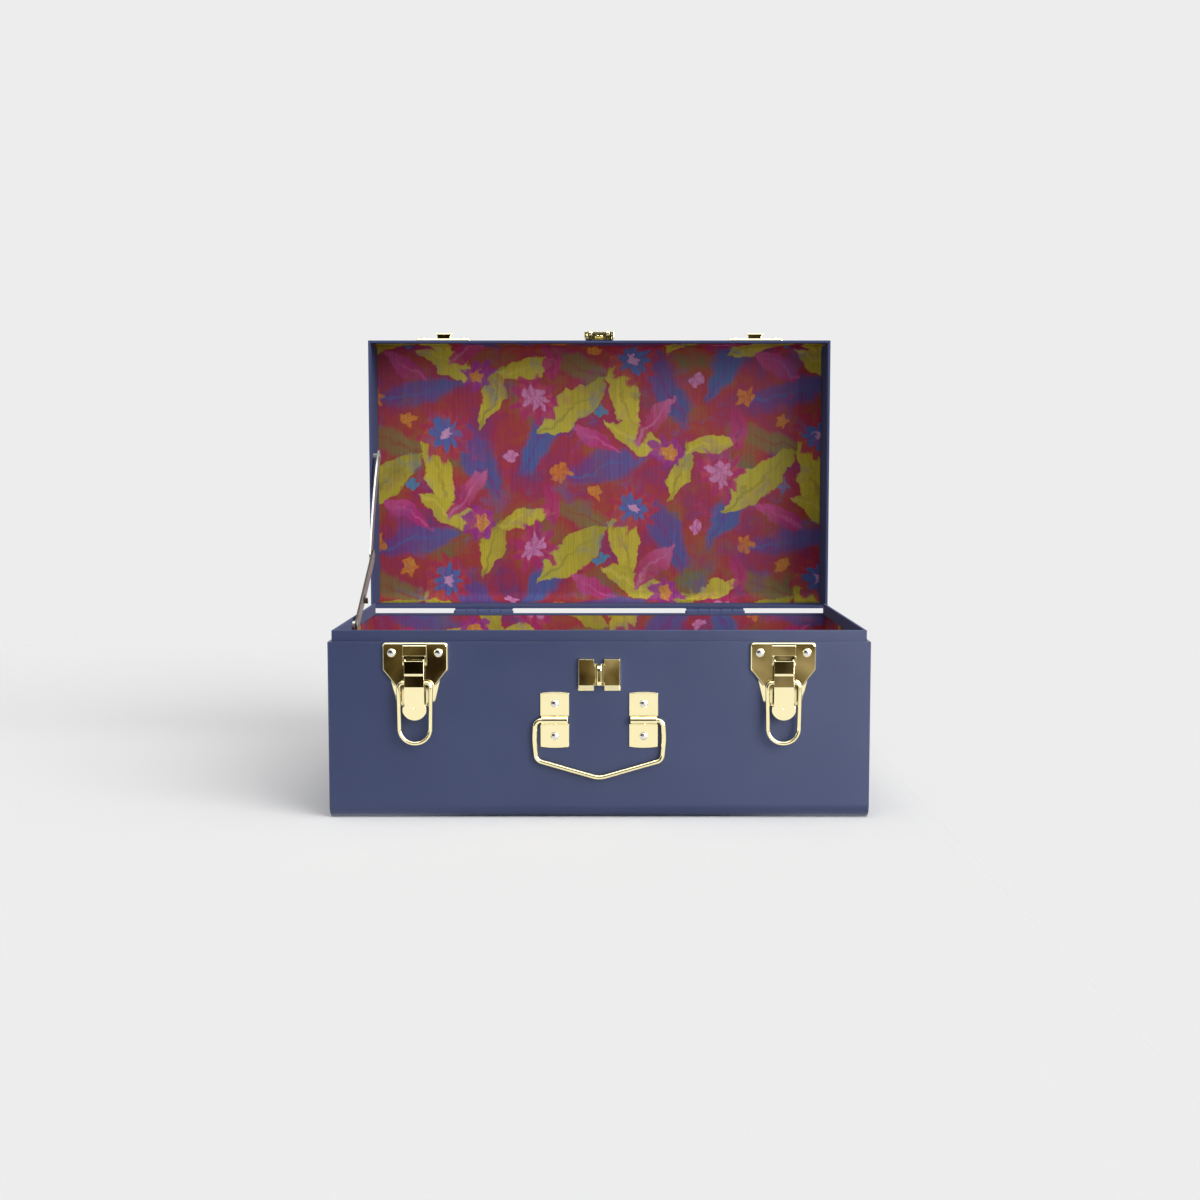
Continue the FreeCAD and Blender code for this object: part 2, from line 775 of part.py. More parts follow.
def strike_plate(centre):
    """Lid plate with the flared hook that the bail pulls on, drawn shut."""
    half = strike_width / 2
    foot = rim + strike_bottom_gap
    outline = shifted(mirrored(strike_rim_shares, half, strike_height, foot, down=False), centre)
    plate = dished_plate(outline, outline, strike_dish, latch_metal)
    floor = rim + hook_floor_rise
    lip = out(hook_lip_reach)
    outer = [(out(strike_dish - latch_metal), floor, 0), (lip, floor, hook_bend_radius),
             (lip - hook_lip_lean, rim + hook_lip_rise, 0)]
    thick = hook_metal
    inner = [(out(strike_dish - latch_metal), floor + thick, 0),
             (lip + thick, floor + thick, hook_bend_radius / 2),
             (lip + thick - hook_lip_lean, rim + hook_lip_rise, 0)]
    flare = hook_lip_width / 2
    root = hook_root_width / 2
    hook = prism_x(sheet_between(outer, inner), centre - flare, centre + flare)
    near = out(strike_dish - latch_metal) + cut_overrun
    tip = lip - hook_lip_lean - cut_overrun
    high = rim + hook_lip_rise
    right = [(root, near), (root, lip + 2 * thick), (flare, lip), (flare, tip)]
    left = [(-x, y) for x, y in reversed(right)]
    flared = [V(centre + x, y, floor) for x, y in right + left + right[:1]]
    stencil = Part.Face(Part.makePolygon(flared)).extrude(V(0, 0, high - floor))
    plate = join([plate, hook.common(stencil)])
    cuts = []
    for x, z in strike_rivet_places:
        cuts.append(hole_y(x, z, out(strike_dish + cut_overrun), front + cut_overrun))
    return plate.cut(Part.makeCompound(cuts))


def hasp_staple():
    """Padlock staple: two pressed pads and a loop drawn out of the metal between them."""
    half = staple_width / 2
    gap = staple_notch_width / 2
    top = ledge - staple_top_drop
    low = top - staple_height
    solids = []
    web_top = top - staple_notch_depth
    web_low = low + staple_notch_depth
    groove = staple_groove_width / 2
    pad_face = out(staple_pad_height)
    bevels = ((0, 0, 0, front), (staple_side_bevel, staple_top_bevel, staple_bottom_bevel, pad_face))
    for side in (-1, 1):
        wires = []
        for side_bevel, top_bevel, bottom_bevel, y in bevels:
            corners = [
                (gap, top - top_bevel, 0), (half - side_bevel, top - top_bevel, staple_corner_radius),
                (half - side_bevel, low + bottom_bevel, staple_corner_radius), (gap, low + bottom_bevel, 0),
                (gap, web_low + bottom_bevel / 2, 0), (groove, web_low + bottom_bevel / 2, 0),
                (groove, web_top - top_bevel, 0), (gap, web_top - top_bevel, 0),
            ]
            wires.append(Part.Wire(rounded_edges(corners, lambda p, y=y: V(side * p.x, y, p.y))))
        solids.append(Part.makeLoft(wires, True, True))
    solids.append(box(-gap, gap, out(staple_metal), front, web_low, web_top))
    crown = out(staple_loop_height)
    reach = staple_loop_width / 2
    thick = staple_loop_metal
    inner_radius = staple_loop_radius - thick
    loop = prism_x([(front, web_top, 0), (crown, web_top, staple_loop_radius),
                    (crown, web_low, staple_loop_radius), (front, web_low, 0)], -reach, reach)
    eye = prism_x([(out(staple_metal), web_top - thick, 0), (crown + thick, web_top - thick, inner_radius),
                   (crown + thick, web_low + thick, inner_radius), (out(staple_metal), web_low + thick, 0)],
                  -half, half)
    loop = loop.cut(eye)
    rounded = []
    for edge in loop.Edges:
        reach_out = edge.BoundBox
        if reach_out.XLength < rim_rounding and reach_out.YMin < out(staple_metal) - rim_rounding:
            rounded.append(edge)
    return join(solids + [loop.makeFillet(staple_loop_rounding, rounded)])


hasp_axis = V(0, out(hasp_pin_height), rim + hasp_pin_rise)


def hasp_bracket():
    """Lid plate with two ears that carry the flap's pin, drawn shut."""
    half = hasp_bracket_width / 2
    low = rim + hasp_bracket_rise
    plate = box(-half, half, out(hasp_metal), front, low, low + hasp_bracket_height)
    solids = [plate]
    for side in (-1, 1):
        inner = side * (hasp_knuckle_width / 2 + hasp_ear_gap)
        outer = inner + side * hasp_ear_thickness
        x0, x1 = sorted((inner, outer))
        solids.append(rod_x(hasp_knuckle_radius, x0, x1, hasp_axis.y, hasp_axis.z))
        solids.append(box(x0, x1, hasp_axis.y, front, low, hasp_axis.z + hasp_knuckle_radius))
    bracket = join(solids)
    cuts = [rod_x(hasp_pin_diameter / 2, -half, half, hasp_axis.y, hasp_axis.z)]
    for x, z in hasp_rivet_places:
        cuts.append(hole_y(x, z, out(hasp_metal + cut_overrun), front + cut_overrun))
    return bracket.cut(Part.makeCompound(cuts))


def hasp_pin():
    reach = hasp_knuckle_width / 2 + hasp_ear_gap + hasp_ear_thickness
    return rod_x(hasp_pin_diameter / 2, -reach, reach, hasp_axis.y, hasp_axis.z)


def hasp_flap():
    """Slotted flap that hangs over the staple; drawn hanging, then folded back on the lid."""
    half = hasp_flap_width / 2
    knuckle = hasp_knuckle_width / 2
    under = staple_pad_height + hasp_flap_clearance
    inner_y = out(under)
    outer_y = out(under + hasp_metal)
    end = hasp_axis.z - hasp_flap_length
    shoulder = hasp_axis.z - hasp_flap_shoulder
    outline = [
        (knuckle, hasp_axis.z, 0), (knuckle, shoulder, 0), (half, shoulder, hasp_metal),
        (half, end, hasp_flap_corner), (-half, end, hasp_flap_corner), (-half, shoulder, hasp_metal),
        (-knuckle, shoulder, 0), (-knuckle, hasp_axis.z, 0),
    ]
    plate = prism_y(outline, outer_y, inner_y)
    pan = prism_y(outline[2:6], out(under + hasp_metal + hasp_flap_rim), inner_y)
    inside = [(math.copysign(half - hasp_metal, x), z, max(r - hasp_metal, 0)) for x, z, r in outline[2:6]]
    inside = [(x, z + hasp_metal, r) if z == end else (x, z + cut_overrun, 0) for x, z, r in inside]
    pan = pan.cut(prism_y(inside, out(under + hasp_metal + hasp_flap_rim + cut_overrun), outer_y))
    rolls = []
    for x0 in (-knuckle, knuckle - hasp_lug_width):
        rolls.append(rod_x(hasp_knuckle_radius, x0, x0 + hasp_lug_width, hasp_axis.y, hasp_axis.z))
    flap = join([plate, pan] + rolls)
    inner_lug = knuckle - hasp_lug_width
    clear = hasp_axis.z - hasp_knuckle_radius
    slot = hasp_slot_width / 2
    slot_end = slot * hasp_slot_end_share
    web_top = ledge - staple_top_drop - staple_notch_depth
    web_low = ledge - staple_top_drop - staple_height + staple_notch_depth
    slot_top = web_top + hasp_slot_margin
    slot_low = web_low - hasp_slot_margin
    cuts = [
        prism_y([(slot, slot_top, slot_end), (slot, slot_low, slot_end),
                 (-slot, slot_low, slot_end), (-slot, slot_top, slot_end)],
                out(half_width), front),
        rod_x(hasp_pin_diameter / 2 + hasp_pin_clearance, -half, half, hasp_axis.y, hasp_axis.z),
        box(-inner_lug, inner_lug, out(half_width), front, clear, hasp_axis.z + hasp_knuckle_radius),
    ]
    flap = flap.cut(Part.makeCompound(cuts))
    flap.rotate(hasp_axis, X_AXIS, half_turn)
    return flap


def handle_plate(centre):
    """Strap over the handle's wire end: flat ears and a rolled knuckle."""
    half = handle_plate_width / 2
    reach = handle_plate_height / 2
    shoulder = reach - handle_plate_arc
    z0 = handle_axis_rise
    y0 = out(handle_plate_metal)

    def at(x, z):
        return V(centre + x, y0, z0 + z)

    wire = Part.Wire([
        Part.makeLine(at(half, -shoulder), at(half, shoulder)),
        Part.Arc(at(half, shoulder), at(0, reach), at(-half, shoulder)).toShape(),
        Part.makeLine(at(-half, shoulder), at(-half, -shoulder)),
        Part.Arc(at(-half, -shoulder), at(0, -reach), at(half, -shoulder)).toShape(),
    ])
    strap = Part.Face(wire).extrude(V(0, handle_plate_metal, 0))
    eased = [edge for edge in strap.Edges if edge.BoundBox.YMax < y0 + rim_rounding]
    strap = strap.makeFillet(handle_plate_rounding, eased)
    bore = handle_wire / 2 + handle_wire_clearance
    roll = bore + handle_plate_metal
    y = out(handle_axis_height)
    narrow = half - handle_knuckle_inset
    beyond = half + cut_overrun
    notch = box(centre - beyond, centre + beyond, y0 - cut_overrun, front + cut_overrun, z0 - roll, z0 + roll)
    knuckle = join([
        rod_x(roll, centre - narrow, centre + narrow, y, z0),
        box(centre - narrow, centre + narrow, y, front, z0 - roll, z0 + roll),
    ])
    plate = join([strap.cut(notch), knuckle])
    cuts = [
        rod_x(bore, centre - half, centre + half, y, z0),
        box(centre - half, centre + half, y, front + cut_overrun, z0 - bore, z0 + bore),
    ]
    for x, z in handle_rivet_places:
        cuts.append(hole_y(x, z, y0 - cut_overrun, front + cut_overrun))
    return plate.cut(Part.makeCompound(cuts))


def handle_bail():
    """Bent wire handle, its ends turned in through the two straps."""
    bow = handle_width / 2 - handle_wire / 2
    leg = bow - handle_bow
    corner = bow - handle_corner_inset
    end = handle_plate_spacing / 2 - handle_plate_width / 2 + handle_end_inset
    right = [
        (end, 0, 0),
        (leg, 0, handle_top_radius),
        (bow, -handle_bow_drop, handle_bow_radius),
        (corner, -handle_corner_drop, handle_corner_radius),
    ]
    left = [(-x, z, radius) for x, z, radius in reversed(right)]
    path = right + [(0, -handle_drop, handle_tip_radius)] + left
    y = out(handle_axis_height)
    return wire_rod(path, lambda p: V(p.x, y, handle_axis_rise + p.y), handle_wire)


# Stay linkage: arms in two planes beside the left wall, the upper arm nearer the wall
upper_outer = -neck_inner_half + stay_wall_gap
upper_inner = upper_outer + stay_arm_metal
lower_outer = upper_inner + stay_arm_gap
lower_inner = lower_outer + stay_arm_metal


def stay_elbow():
    """Elbow place with the lid open: where both arm lengths meet, on the hinge's side."""
    span = stay_lid - stay_base
    along = (stay_lower_length**2 - stay_upper_length**2 + span.Length**2) / (2 * span.Length)
    rise = math.sqrt(stay_lower_length**2 - along**2)
    unit = span * (1 / span.Length)
    return stay_base + unit * along + V(0, unit.z, -unit.y) * rise


def stay_lid_shut():
    """The stay's lid pivot, as (y, z), with the lid shut."""
    arm = stay_lid - hinge_axis
    return hinge_axis.y - arm.z, hinge_axis.z + arm.y


def stay_arm(start, end, bow, x0, x1):
    """Flat strap with round ends from one pivot to the other, bowed sideways."""
    run = end - start
    unit = run * (1 / run.Length)
    across = V(0, -unit.z, unit.y)
    half = stay_arm_width / 2
    middle = (start + end) / 2 + across * bow

    def at(p, offset):
        moved = p + across * offset
        return V(x0, moved.y, moved.z)

    def tip(p, sign):
        moved = p + unit * sign * half
        return V(x0, moved.y, moved.z)

    wire = Part.Wire([
        Part.Arc(at(start, half), at(middle, half), at(end, half)).toShape() if bow
        else Part.makeLine(at(start, half), at(end, half)),
        Part.Arc(at(end, half), tip(end, 1), at(end, -half)).toShape(),
        Part.Arc(at(end, -half), at(middle, -half), at(start, -half)).toShape() if bow
        else Part.makeLine(at(end, -half), at(start, -half)),
        Part.Arc(at(start, -half), tip(start, -1), at(start, half)).toShape(),
    ])
    return Part.Face(wire).extrude(V(x1 - x0, 0, 0))


def stay_lower_arm():
    """Lower arm, with a window lanced through it and the tab bent out of the window."""
    elbow = stay_elbow()
    arm = stay_arm(stay_base, elbow, 0, lower_outer, lower_inner)
    half = stay_window_width / 2
    low = stay_window_place
    high = low + stay_window_length
    window = box(lower_outer - cut_overrun, lower_inner + cut_overrun, low, high, -half, half)
    tab = box(lower_outer, lower_inner + stay_tab_height, low - stay_arm_metal, low, -half, half)
    run = elbow - stay_base
    turn = math.degrees(math.atan2(run.z, run.y))
    for piece in (window, tab):
        piece.rotate(ORIGIN, X_AXIS, turn)
        piece.translate(stay_base)
    arm = join([arm.cut(window), tab])
    shank = stay_shank_diameter / 2 + stay_shank_clearance
    holes = [rod_x(shank, -half_width, 0, p.y, p.z) for p in (stay_base, elbow)]
    return arm.cut(Part.makeCompound(holes))


def stay_upper_arm():
    arm = stay_arm(stay_elbow(), stay_lid, stay_upper_bow, upper_outer, upper_inner)
    shank = stay_shank_diameter / 2 + stay_shank_clearance
    return arm.cut(rod_x(shank, -half_width, 0, stay_lid.y, stay_lid.z))


def dome_x(x, y, z):
    """Low round head that stands towards the middle of the trunk."""
    radius = stay_head_diameter / 2
    sphere = (radius**2 + stay_head_dome**2) / (2 * stay_head_dome)
    ball = Part.makeSphere(sphere, V(x + stay_head_dome - sphere, y, z))
    return ball.common(box(x, x + stay_head_diameter, y - radius, y + radius, z - radius, z + radius))


def stay_base_post():
    seat = -half_width + ledge_width
    shank = stay_shank_diameter / 2
    gap = stay_shank_clearance
    x = lower_inner + gap
    return join([
        rod_x(shank, seat, x, stay_base.y, stay_base.z),
        rod_x(stay_post_diameter / 2, -neck_inner_half, lower_outer - gap, stay_base.y, stay_base.z),
        dome_x(x, stay_base.y, stay_base.z),
    ])


def stay_lid_post():
    shank = stay_shank_diameter / 2
    gap = stay_shank_clearance
    x = upper_inner + gap
    return join([
        rod_x(shank, -half_width, x, stay_lid.y, stay_lid.z),
        rod_x(stay_post_diameter / 2, -inner_half, upper_outer - gap, stay_lid.y, stay_lid.z),
        dome_x(x, stay_lid.y, stay_lid.z),
    ])


def stay_elbow_rivet():
    elbow = stay_elbow()
    x = lower_inner + stay_shank_clearance
    return join([
        rod_x(stay_shank_diameter / 2, lower_outer, x, elbow.y, elbow.z),
        dome_x(x, elbow.y, elbow.z),
    ])


def all_nodes():
    """Every piece by name, with the lid open."""
    nodes = {
        "base_wrap": base_wrap(),
        "lip_band": lip_band(),
        "base_lining_wrap": base_lining_wrap(),
        "lid_wrap": opened(lid_wrap()),
        "lid_lining": opened(lid_lining()),
        "hasp_staple": hasp_staple(),
        "hasp_bracket": opened(hasp_bracket()),
        "hasp_pin": opened(hasp_pin()),
        "hasp_flap": opened(hasp_flap()),
        "handle_bail": handle_bail(),
        "stay_base_post": stay_base_post(),
        "stay_lid_post": stay_lid_post(),
        "stay_elbow_rivet": stay_elbow_rivet(),
        "stay_lower_arm": stay_lower_arm(),
        "stay_upper_arm": stay_upper_arm(),
    }
    centres = zip((-1, 1), sides, hinge_centres, latch_centres, handle_centres)
    for sign, side, hinge_x, latch_x, handle_x in centres:
        nodes["base_end_" + side] = end_plate(base_outline(), sign)
        nodes["base_lining_" + side] = base_lining_end(sign)
        nodes["lid_end_" + side] = opened(lid_end(sign))
        nodes["hinge_leaf_base_" + side] = hinge_leaf(hinge_x, "base")
        nodes["hinge_leaf_lid_" + side] = opened(hinge_leaf(hinge_x, "lid"))
        nodes["hinge_pin_" + side] = hinge_pin(hinge_x)
        nodes["latch_plate_" + side] = latch_plate(latch_x)
        nodes["latch_pin_" + side] = latch_pin(latch_x)
        nodes["latch_lever_" + side] = latch_lever(latch_x)
        nodes["latch_bail_" + side] = latch_bail(latch_x)
        nodes["strike_plate_" + side] = opened(strike_plate(latch_x))
        nodes["handle_plate_" + side] = handle_plate(handle_x)
    groups = {
        "latch_rivets": front_rivets(latch_rivet_places, latch_rivet_diameter, latch_rivet_dome,
                                     sheet + latch_dish),
        "handle_rivets": front_rivets(handle_rivet_places, handle_rivet_diameter, handle_rivet_dome,
                                      sheet + handle_plate_metal),
        "strike_rivets": front_rivets(strike_rivet_places, latch_rivet_diameter, latch_rivet_dome,
                                      sheet + strike_dish),
        "hasp_rivets": front_rivets(hasp_rivet_places, flat_rivet_diameter, flat_rivet_dome,
                                    sheet + hasp_metal),
        "hinge_rivets_base": hinge_rivets("base"),
        "hinge_rivets_lid": hinge_rivets("lid"),
    }
    for name, solids in groups.items():
        group = Part.makeCompound(solids)
        on_lid = name in ("strike_rivets", "hasp_rivets", "hinge_rivets_lid")
        nodes[name] = opened(group) if on_lid else group
    return nodes


def main():
    os.makedirs("parts", exist_ok=True)
    for name, shape in sorted(all_nodes().items()):
        print(name, "solids", len(shape.Solids), "volume", round(shape.Volume, 1), "valid", shape.isValid())
        shape.exportStep(os.path.join("parts", name + ".step"))
    elbow = stay_elbow()
    print("hinge axis", tuple(hinge_axis), "hasp axis", tuple(hasp_axis))
    print("elbow", tuple(elbow), "stay lid pivot shut", stay_lid_shut())


if __name__ == "__main__":
    main()
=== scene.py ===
"""Look of the steel storage trunk: satin enamel, polished brass fittings, zinc-plated stay, printed card lining."""

import bpy
import json
import math
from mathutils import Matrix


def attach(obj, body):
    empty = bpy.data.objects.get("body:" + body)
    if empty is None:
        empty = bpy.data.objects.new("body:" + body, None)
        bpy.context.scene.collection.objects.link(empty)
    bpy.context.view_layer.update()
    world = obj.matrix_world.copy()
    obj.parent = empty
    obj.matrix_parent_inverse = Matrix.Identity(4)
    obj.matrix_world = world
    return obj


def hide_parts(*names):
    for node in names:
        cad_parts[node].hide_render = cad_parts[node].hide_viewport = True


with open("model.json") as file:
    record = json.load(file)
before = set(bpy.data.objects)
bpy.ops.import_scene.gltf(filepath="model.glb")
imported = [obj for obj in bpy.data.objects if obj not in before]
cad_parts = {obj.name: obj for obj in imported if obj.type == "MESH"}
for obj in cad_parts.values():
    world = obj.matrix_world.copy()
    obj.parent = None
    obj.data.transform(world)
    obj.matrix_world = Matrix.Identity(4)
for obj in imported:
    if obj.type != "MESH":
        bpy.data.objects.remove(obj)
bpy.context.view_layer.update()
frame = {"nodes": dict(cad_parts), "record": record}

MM = 0.001
# Places at rest: lower rim of the open lid, and points before the inner faces of the case and of the lid
LID_RIM_Z = 133 * MM
CASE_HOLLOW = (0.0, 100 * MM, 131 * MM)
LID_HOLLOW = (0.0, 115 * MM, 250 * MM)


def linear(code):
    """Linear colour of an sRGB hex code."""
    channels = [int(code[i:i + 2], 16) / 255 for i in (1, 3, 5)]
    return [c / 12.92 if c <= 0.04045 else ((c + 0.055) / 1.055) ** 2.4 for c in channels] + [1.0]


def add(tree, kind, inputs=None, **settings):
    """One node with its settings; inputs hold plain values or the sockets they are linked from."""
    node = tree.nodes.new(kind)
    for name, value in settings.items():
        setattr(node, name, value)
    for name, value in (inputs or {}).items():
        if isinstance(value, bpy.types.NodeSocket):
            tree.links.new(value, node.inputs[name])
        else:
            node.inputs[name].default_value = value
    return node


def finish_material(name, build):
    """A named material whose surface is what build returns."""
    material = bpy.data.materials.new(name)
    material.use_nodes = True
    tree = material.node_tree
    tree.nodes.clear()
    shader = build(tree)
    add(tree, "ShaderNodeOutputMaterial", {"Surface": shader.outputs[0]})
    return material


def satin_enamel(tree):
    """Sprayed and baked navy enamel: satin outside, with faint orange peel and a lighter navy along the folds;
    inside, where less spray reaches, thin and matt, and painted a lighter navy that stands in for the sheen it lacks."""
    place = add(tree, "ShaderNodeTexCoord").outputs["Object"]
    cloud = add(tree, "ShaderNodeTexNoise", {"Vector": place, "Scale": 1 / (70 * MM), "Detail": 3.0})
    outer = add(tree, "ShaderNodeMix", {0: cloud.outputs["Fac"], 6: linear("#27335B"), 7: linear("#2C3860")},
                data_type="RGBA")
    soft = add(tree, "ShaderNodeBevel", {"Radius": 0.7 * MM}, samples=4)
    true_normal = add(tree, "ShaderNodeNewGeometry").outputs["True Normal"]
    height = add(tree, "ShaderNodeSeparateXYZ", {0: place}).outputs[2]
    is_lid = add(tree, "ShaderNodeMath", {0: height, 1: LID_RIM_Z}, operation="GREATER_THAN").outputs[0]
    hollow = add(tree, "ShaderNodeMix", {0: is_lid, 4: CASE_HOLLOW, 5: LID_HOLLOW}, data_type="VECTOR")
    outward = add(tree, "ShaderNodeVectorMath", {0: place, 1: hollow.outputs[1]}, operation="SUBTRACT")
    own_normal = add(tree, "ShaderNodeVectorTransform", {0: true_normal}, vector_type="NORMAL",
                     convert_from="WORLD", convert_to="OBJECT").outputs[0]
    away = add(tree, "ShaderNodeVectorMath", {0: outward.outputs[0], 1: own_normal}, operation="DOT_PRODUCT")
    inside = add(tree, "ShaderNodeMath", {0: away.outputs["Value"], 1: 0.0}, operation="LESS_THAN").outputs[0]
    # Painted sheen: inside faces get a lighter navy in place of the gloss they lack
    tone = add(tree, "ShaderNodeMix", {0: inside, 6: outer.outputs[2], 7: linear("#424C75")}, data_type="RGBA")
    # A lighter navy along the folds, where the bevelled normal turns away from the true one
    facing = add(tree, "ShaderNodeVectorMath", {0: soft.outputs[0], 1: true_normal}, operation="DOT_PRODUCT")
    fold = add(tree, "ShaderNodeMapRange", {"Value": facing.outputs["Value"], 1: 0.98, 2: 0.75, 3: 0.0, 4: 0.18})
    colour = add(tree, "ShaderNodeMix", {0: fold.outputs[0], 6: tone.outputs[2], 7: linear("#566083")},
                 data_type="RGBA")
    smear = add(tree, "ShaderNodeTexNoise", {"Vector": place, "Scale": 1 / (25 * MM), "Detail": 2.0})
    satin = add(tree, "ShaderNodeMapRange", {"Value": smear.outputs["Fac"], 3: 0.36, 4: 0.46})
    gloss = add(tree, "ShaderNodeMix", {0: inside, 2: satin.outputs[0], 3: 1.0})
    peel = add(tree, "ShaderNodeTexNoise", {"Vector": place, "Scale": 1 / (1.8 * MM), "Detail": 1.0})
    bump = add(tree, "ShaderNodeBump", {"Height": peel.outputs["Fac"], "Strength": 0.12, "Distance": 0.03 * MM,
                                        "Normal": soft.outputs[0]})
    return add(tree, "ShaderNodeBsdfPrincipled", {
        "Base Color": colour.outputs[2], "Roughness": gloss.outputs[0], "Normal": bump.outputs[0], "IOR": 1.5})


def polished_brass(tree, forward_unshaded_share=1.0):
    """Pressed steel plated with brass and lacquered: mirror-bright, pale gold, with faint rubbing streaks,
    and painted shade that darkens it in corners and hollows. On the lid, the one argument is the share of
    brightness kept on the faces that look down when the lid is shut, and forward when it is open; the rest is painted
    shade."""
    coords = add(tree, "ShaderNodeTexCoord")
    place = coords.outputs["Object"]
    soft = add(tree, "ShaderNodeBevel", {"Radius": 0.45 * MM}, samples=6)
    cloud = add(tree, "ShaderNodeTexNoise", {"Vector": place, "Scale": 1 / (9 * MM), "Detail": 3.0})
    bright = add(tree, "ShaderNodeMix", {0: cloud.outputs["Fac"], 6: linear("#FBEEB8"), 7: linear("#FDF2C4")},
                 data_type="RGBA")
    # Painted shade: the tone turns dark brown where ambient occlusion finds a corner or hollow
    hollow_occlusion = add(tree, "ShaderNodeAmbientOcclusion", {"Distance": 8 * MM}, samples=8)
    clear_of_hollow_shade = add(tree, "ShaderNodeMapRange", {"Value": hollow_occlusion.outputs["AO"], 1: 0.22, 2: 0.58})
    normal = add(tree, "ShaderNodeSeparateXYZ", {0: coords.outputs["Normal"]})
    # Painted shade on the faces that look down when shut and forward when the lid is open
    rim = add(tree, "ShaderNodeMapRange", {"Value": normal.outputs[1], 1: -0.35, 2: -0.75, 3: 1.0, 4: forward_unshaded_share})
    painted_light_level = add(tree, "ShaderNodeMath", {0: clear_of_hollow_shade.outputs[0], 1: rim.outputs[0]}, operation="MULTIPLY")
    # The dark brown is painted shade, laid where the masks above are low
    tone = add(tree, "ShaderNodeMix", {0: painted_light_level.outputs[0], 6: linear("#2B2010"), 7: bright.outputs[2]},
               data_type="RGBA")
    stretch = add(tree, "ShaderNodeMapping", {"Vector": place, "Scale": (1.0, 1.0, 0.08)})
    rub = add(tree, "ShaderNodeTexNoise", {"Vector": stretch.outputs[0], "Scale": 1 / (0.8 * MM), "Detail": 2.0})
    gloss = add(tree, "ShaderNodeMapRange", {"Value": rub.outputs["Fac"], 3: 0.02, 4: 0.05})
    wave = add(tree, "ShaderNodeTexNoise", {"Vector": place, "Scale": 1 / (6 * MM), "Detail": 1.0})
    bump = add(tree, "ShaderNodeBump", {"Height": wave.outputs["Fac"], "Strength": 0.06, "Distance": 0.05 * MM,
                                        "Normal": soft.outputs[0]})
    return add(tree, "ShaderNodeBsdfPrincipled", {
        "Base Color": tone.outputs[2], "Metallic": 1.0, "Roughness": gloss.outputs[0], "Normal": bump.outputs[0]})


def hasp_brass(tree):
    """The same plate on the hasp's bracket and pin, with painted shade along the lower rim, on the faces that look
    forward when the lid is open.
    """
    return polished_brass(tree, forward_unshaded_share=0.06)


def nickel_plate(tree):
    """Nickel plate over steel: cool grey mirror, lightly scuffed by handling."""
    place = add(tree, "ShaderNodeTexCoord").outputs["Object"]
    soft = add(tree, "ShaderNodeBevel", {"Radius": 0.3 * MM}, samples=4)
    scuff = add(tree, "ShaderNodeTexNoise", {"Vector": place, "Scale": 1 / (1.5 * MM), "Detail": 4.0})
    gloss = add(tree, "ShaderNodeMapRange", {"Value": scuff.outputs["Fac"], 3: 0.16, 4: 0.3})
    tone = add(tree, "ShaderNodeMix", {0: scuff.outputs["Fac"], 6: linear("#D6D4CF"), 7: linear("#EAE8E4")},
               data_type="RGBA")
    bump = add(tree, "ShaderNodeBump", {"Height": scuff.outputs["Fac"], "Strength": 0.06, "Distance": 0.03 * MM,
                                        "Normal": soft.outputs[0]})
    return add(tree, "ShaderNodeBsdfPrincipled", {
        "Base Color": tone.outputs[2], "Metallic": 1.0, "Roughness": gloss.outputs[0], "Normal": bump.outputs[0]})


def plated_strip(tree, shadow="#8E8B86", light="#B0ADA7", edge="#DEDBD5"):
    """Zinc-plated steel strip, blanked: dull grey on its flat sides, bright along the sheared edges."""
    place = add(tree, "ShaderNodeTexCoord").outputs["Object"]
    soft = add(tree, "ShaderNodeBevel", {"Radius": 0.35 * MM}, samples=4)
    cloud = add(tree, "ShaderNodeTexNoise", {"Vector": place, "Scale": 1 / (5 * MM), "Detail": 4.0})
    normal = add(tree, "ShaderNodeSeparateXYZ", {0: add(tree, "ShaderNodeNewGeometry").outputs["True Normal"]})
    flat = add(tree, "ShaderNodeMath", {0: normal.outputs[0]}, operation="ABSOLUTE")
    sheared = add(tree, "ShaderNodeMapRange", {"Value": flat.outputs[0], 1: 0.9, 2: 0.6})
    dull = add(tree, "ShaderNodeMix", {0: cloud.outputs["Fac"], 6: linear(shadow), 7: linear(light)},
               data_type="RGBA")
    tone = add(tree, "ShaderNodeMix", {0: sheared.outputs[0], 6: dull.outputs[2], 7: linear(edge)},
               data_type="RGBA")
    gloss = add(tree, "ShaderNodeMapRange", {"Value": sheared.outputs[0], 3: 0.48, 4: 0.26})
    scratch = add(tree, "ShaderNodeTexNoise", {"Vector": place, "Scale": 1 / (0.6 * MM), "Detail": 2.0})
    bump = add(tree, "ShaderNodeBump", {"Height": scratch.outputs["Fac"], "Strength": 0.08, "Distance": 0.02 * MM,
                                        "Normal": soft.outputs[0]})
    return add(tree, "ShaderNodeBsdfPrincipled", {
        "Base Color": tone.outputs[2], "Metallic": 0.65, "Roughness": gloss.outputs[0], "Normal": bump.outputs[0]})


def raw_edged_strip(tree):
    """Strip blanked after plating: light grey on its flat sides, dark bare steel along the sheared edges."""
    return plated_strip(tree, shadow="#A19D97", light="#C0BCB6", edge="#57534B")


# The lining's print: a half-drop repeat of leaf sprays and seed heads, in millimetres of the flat card
REPEAT_ACROSS = 168.0
REPEAT_UP = 132.0
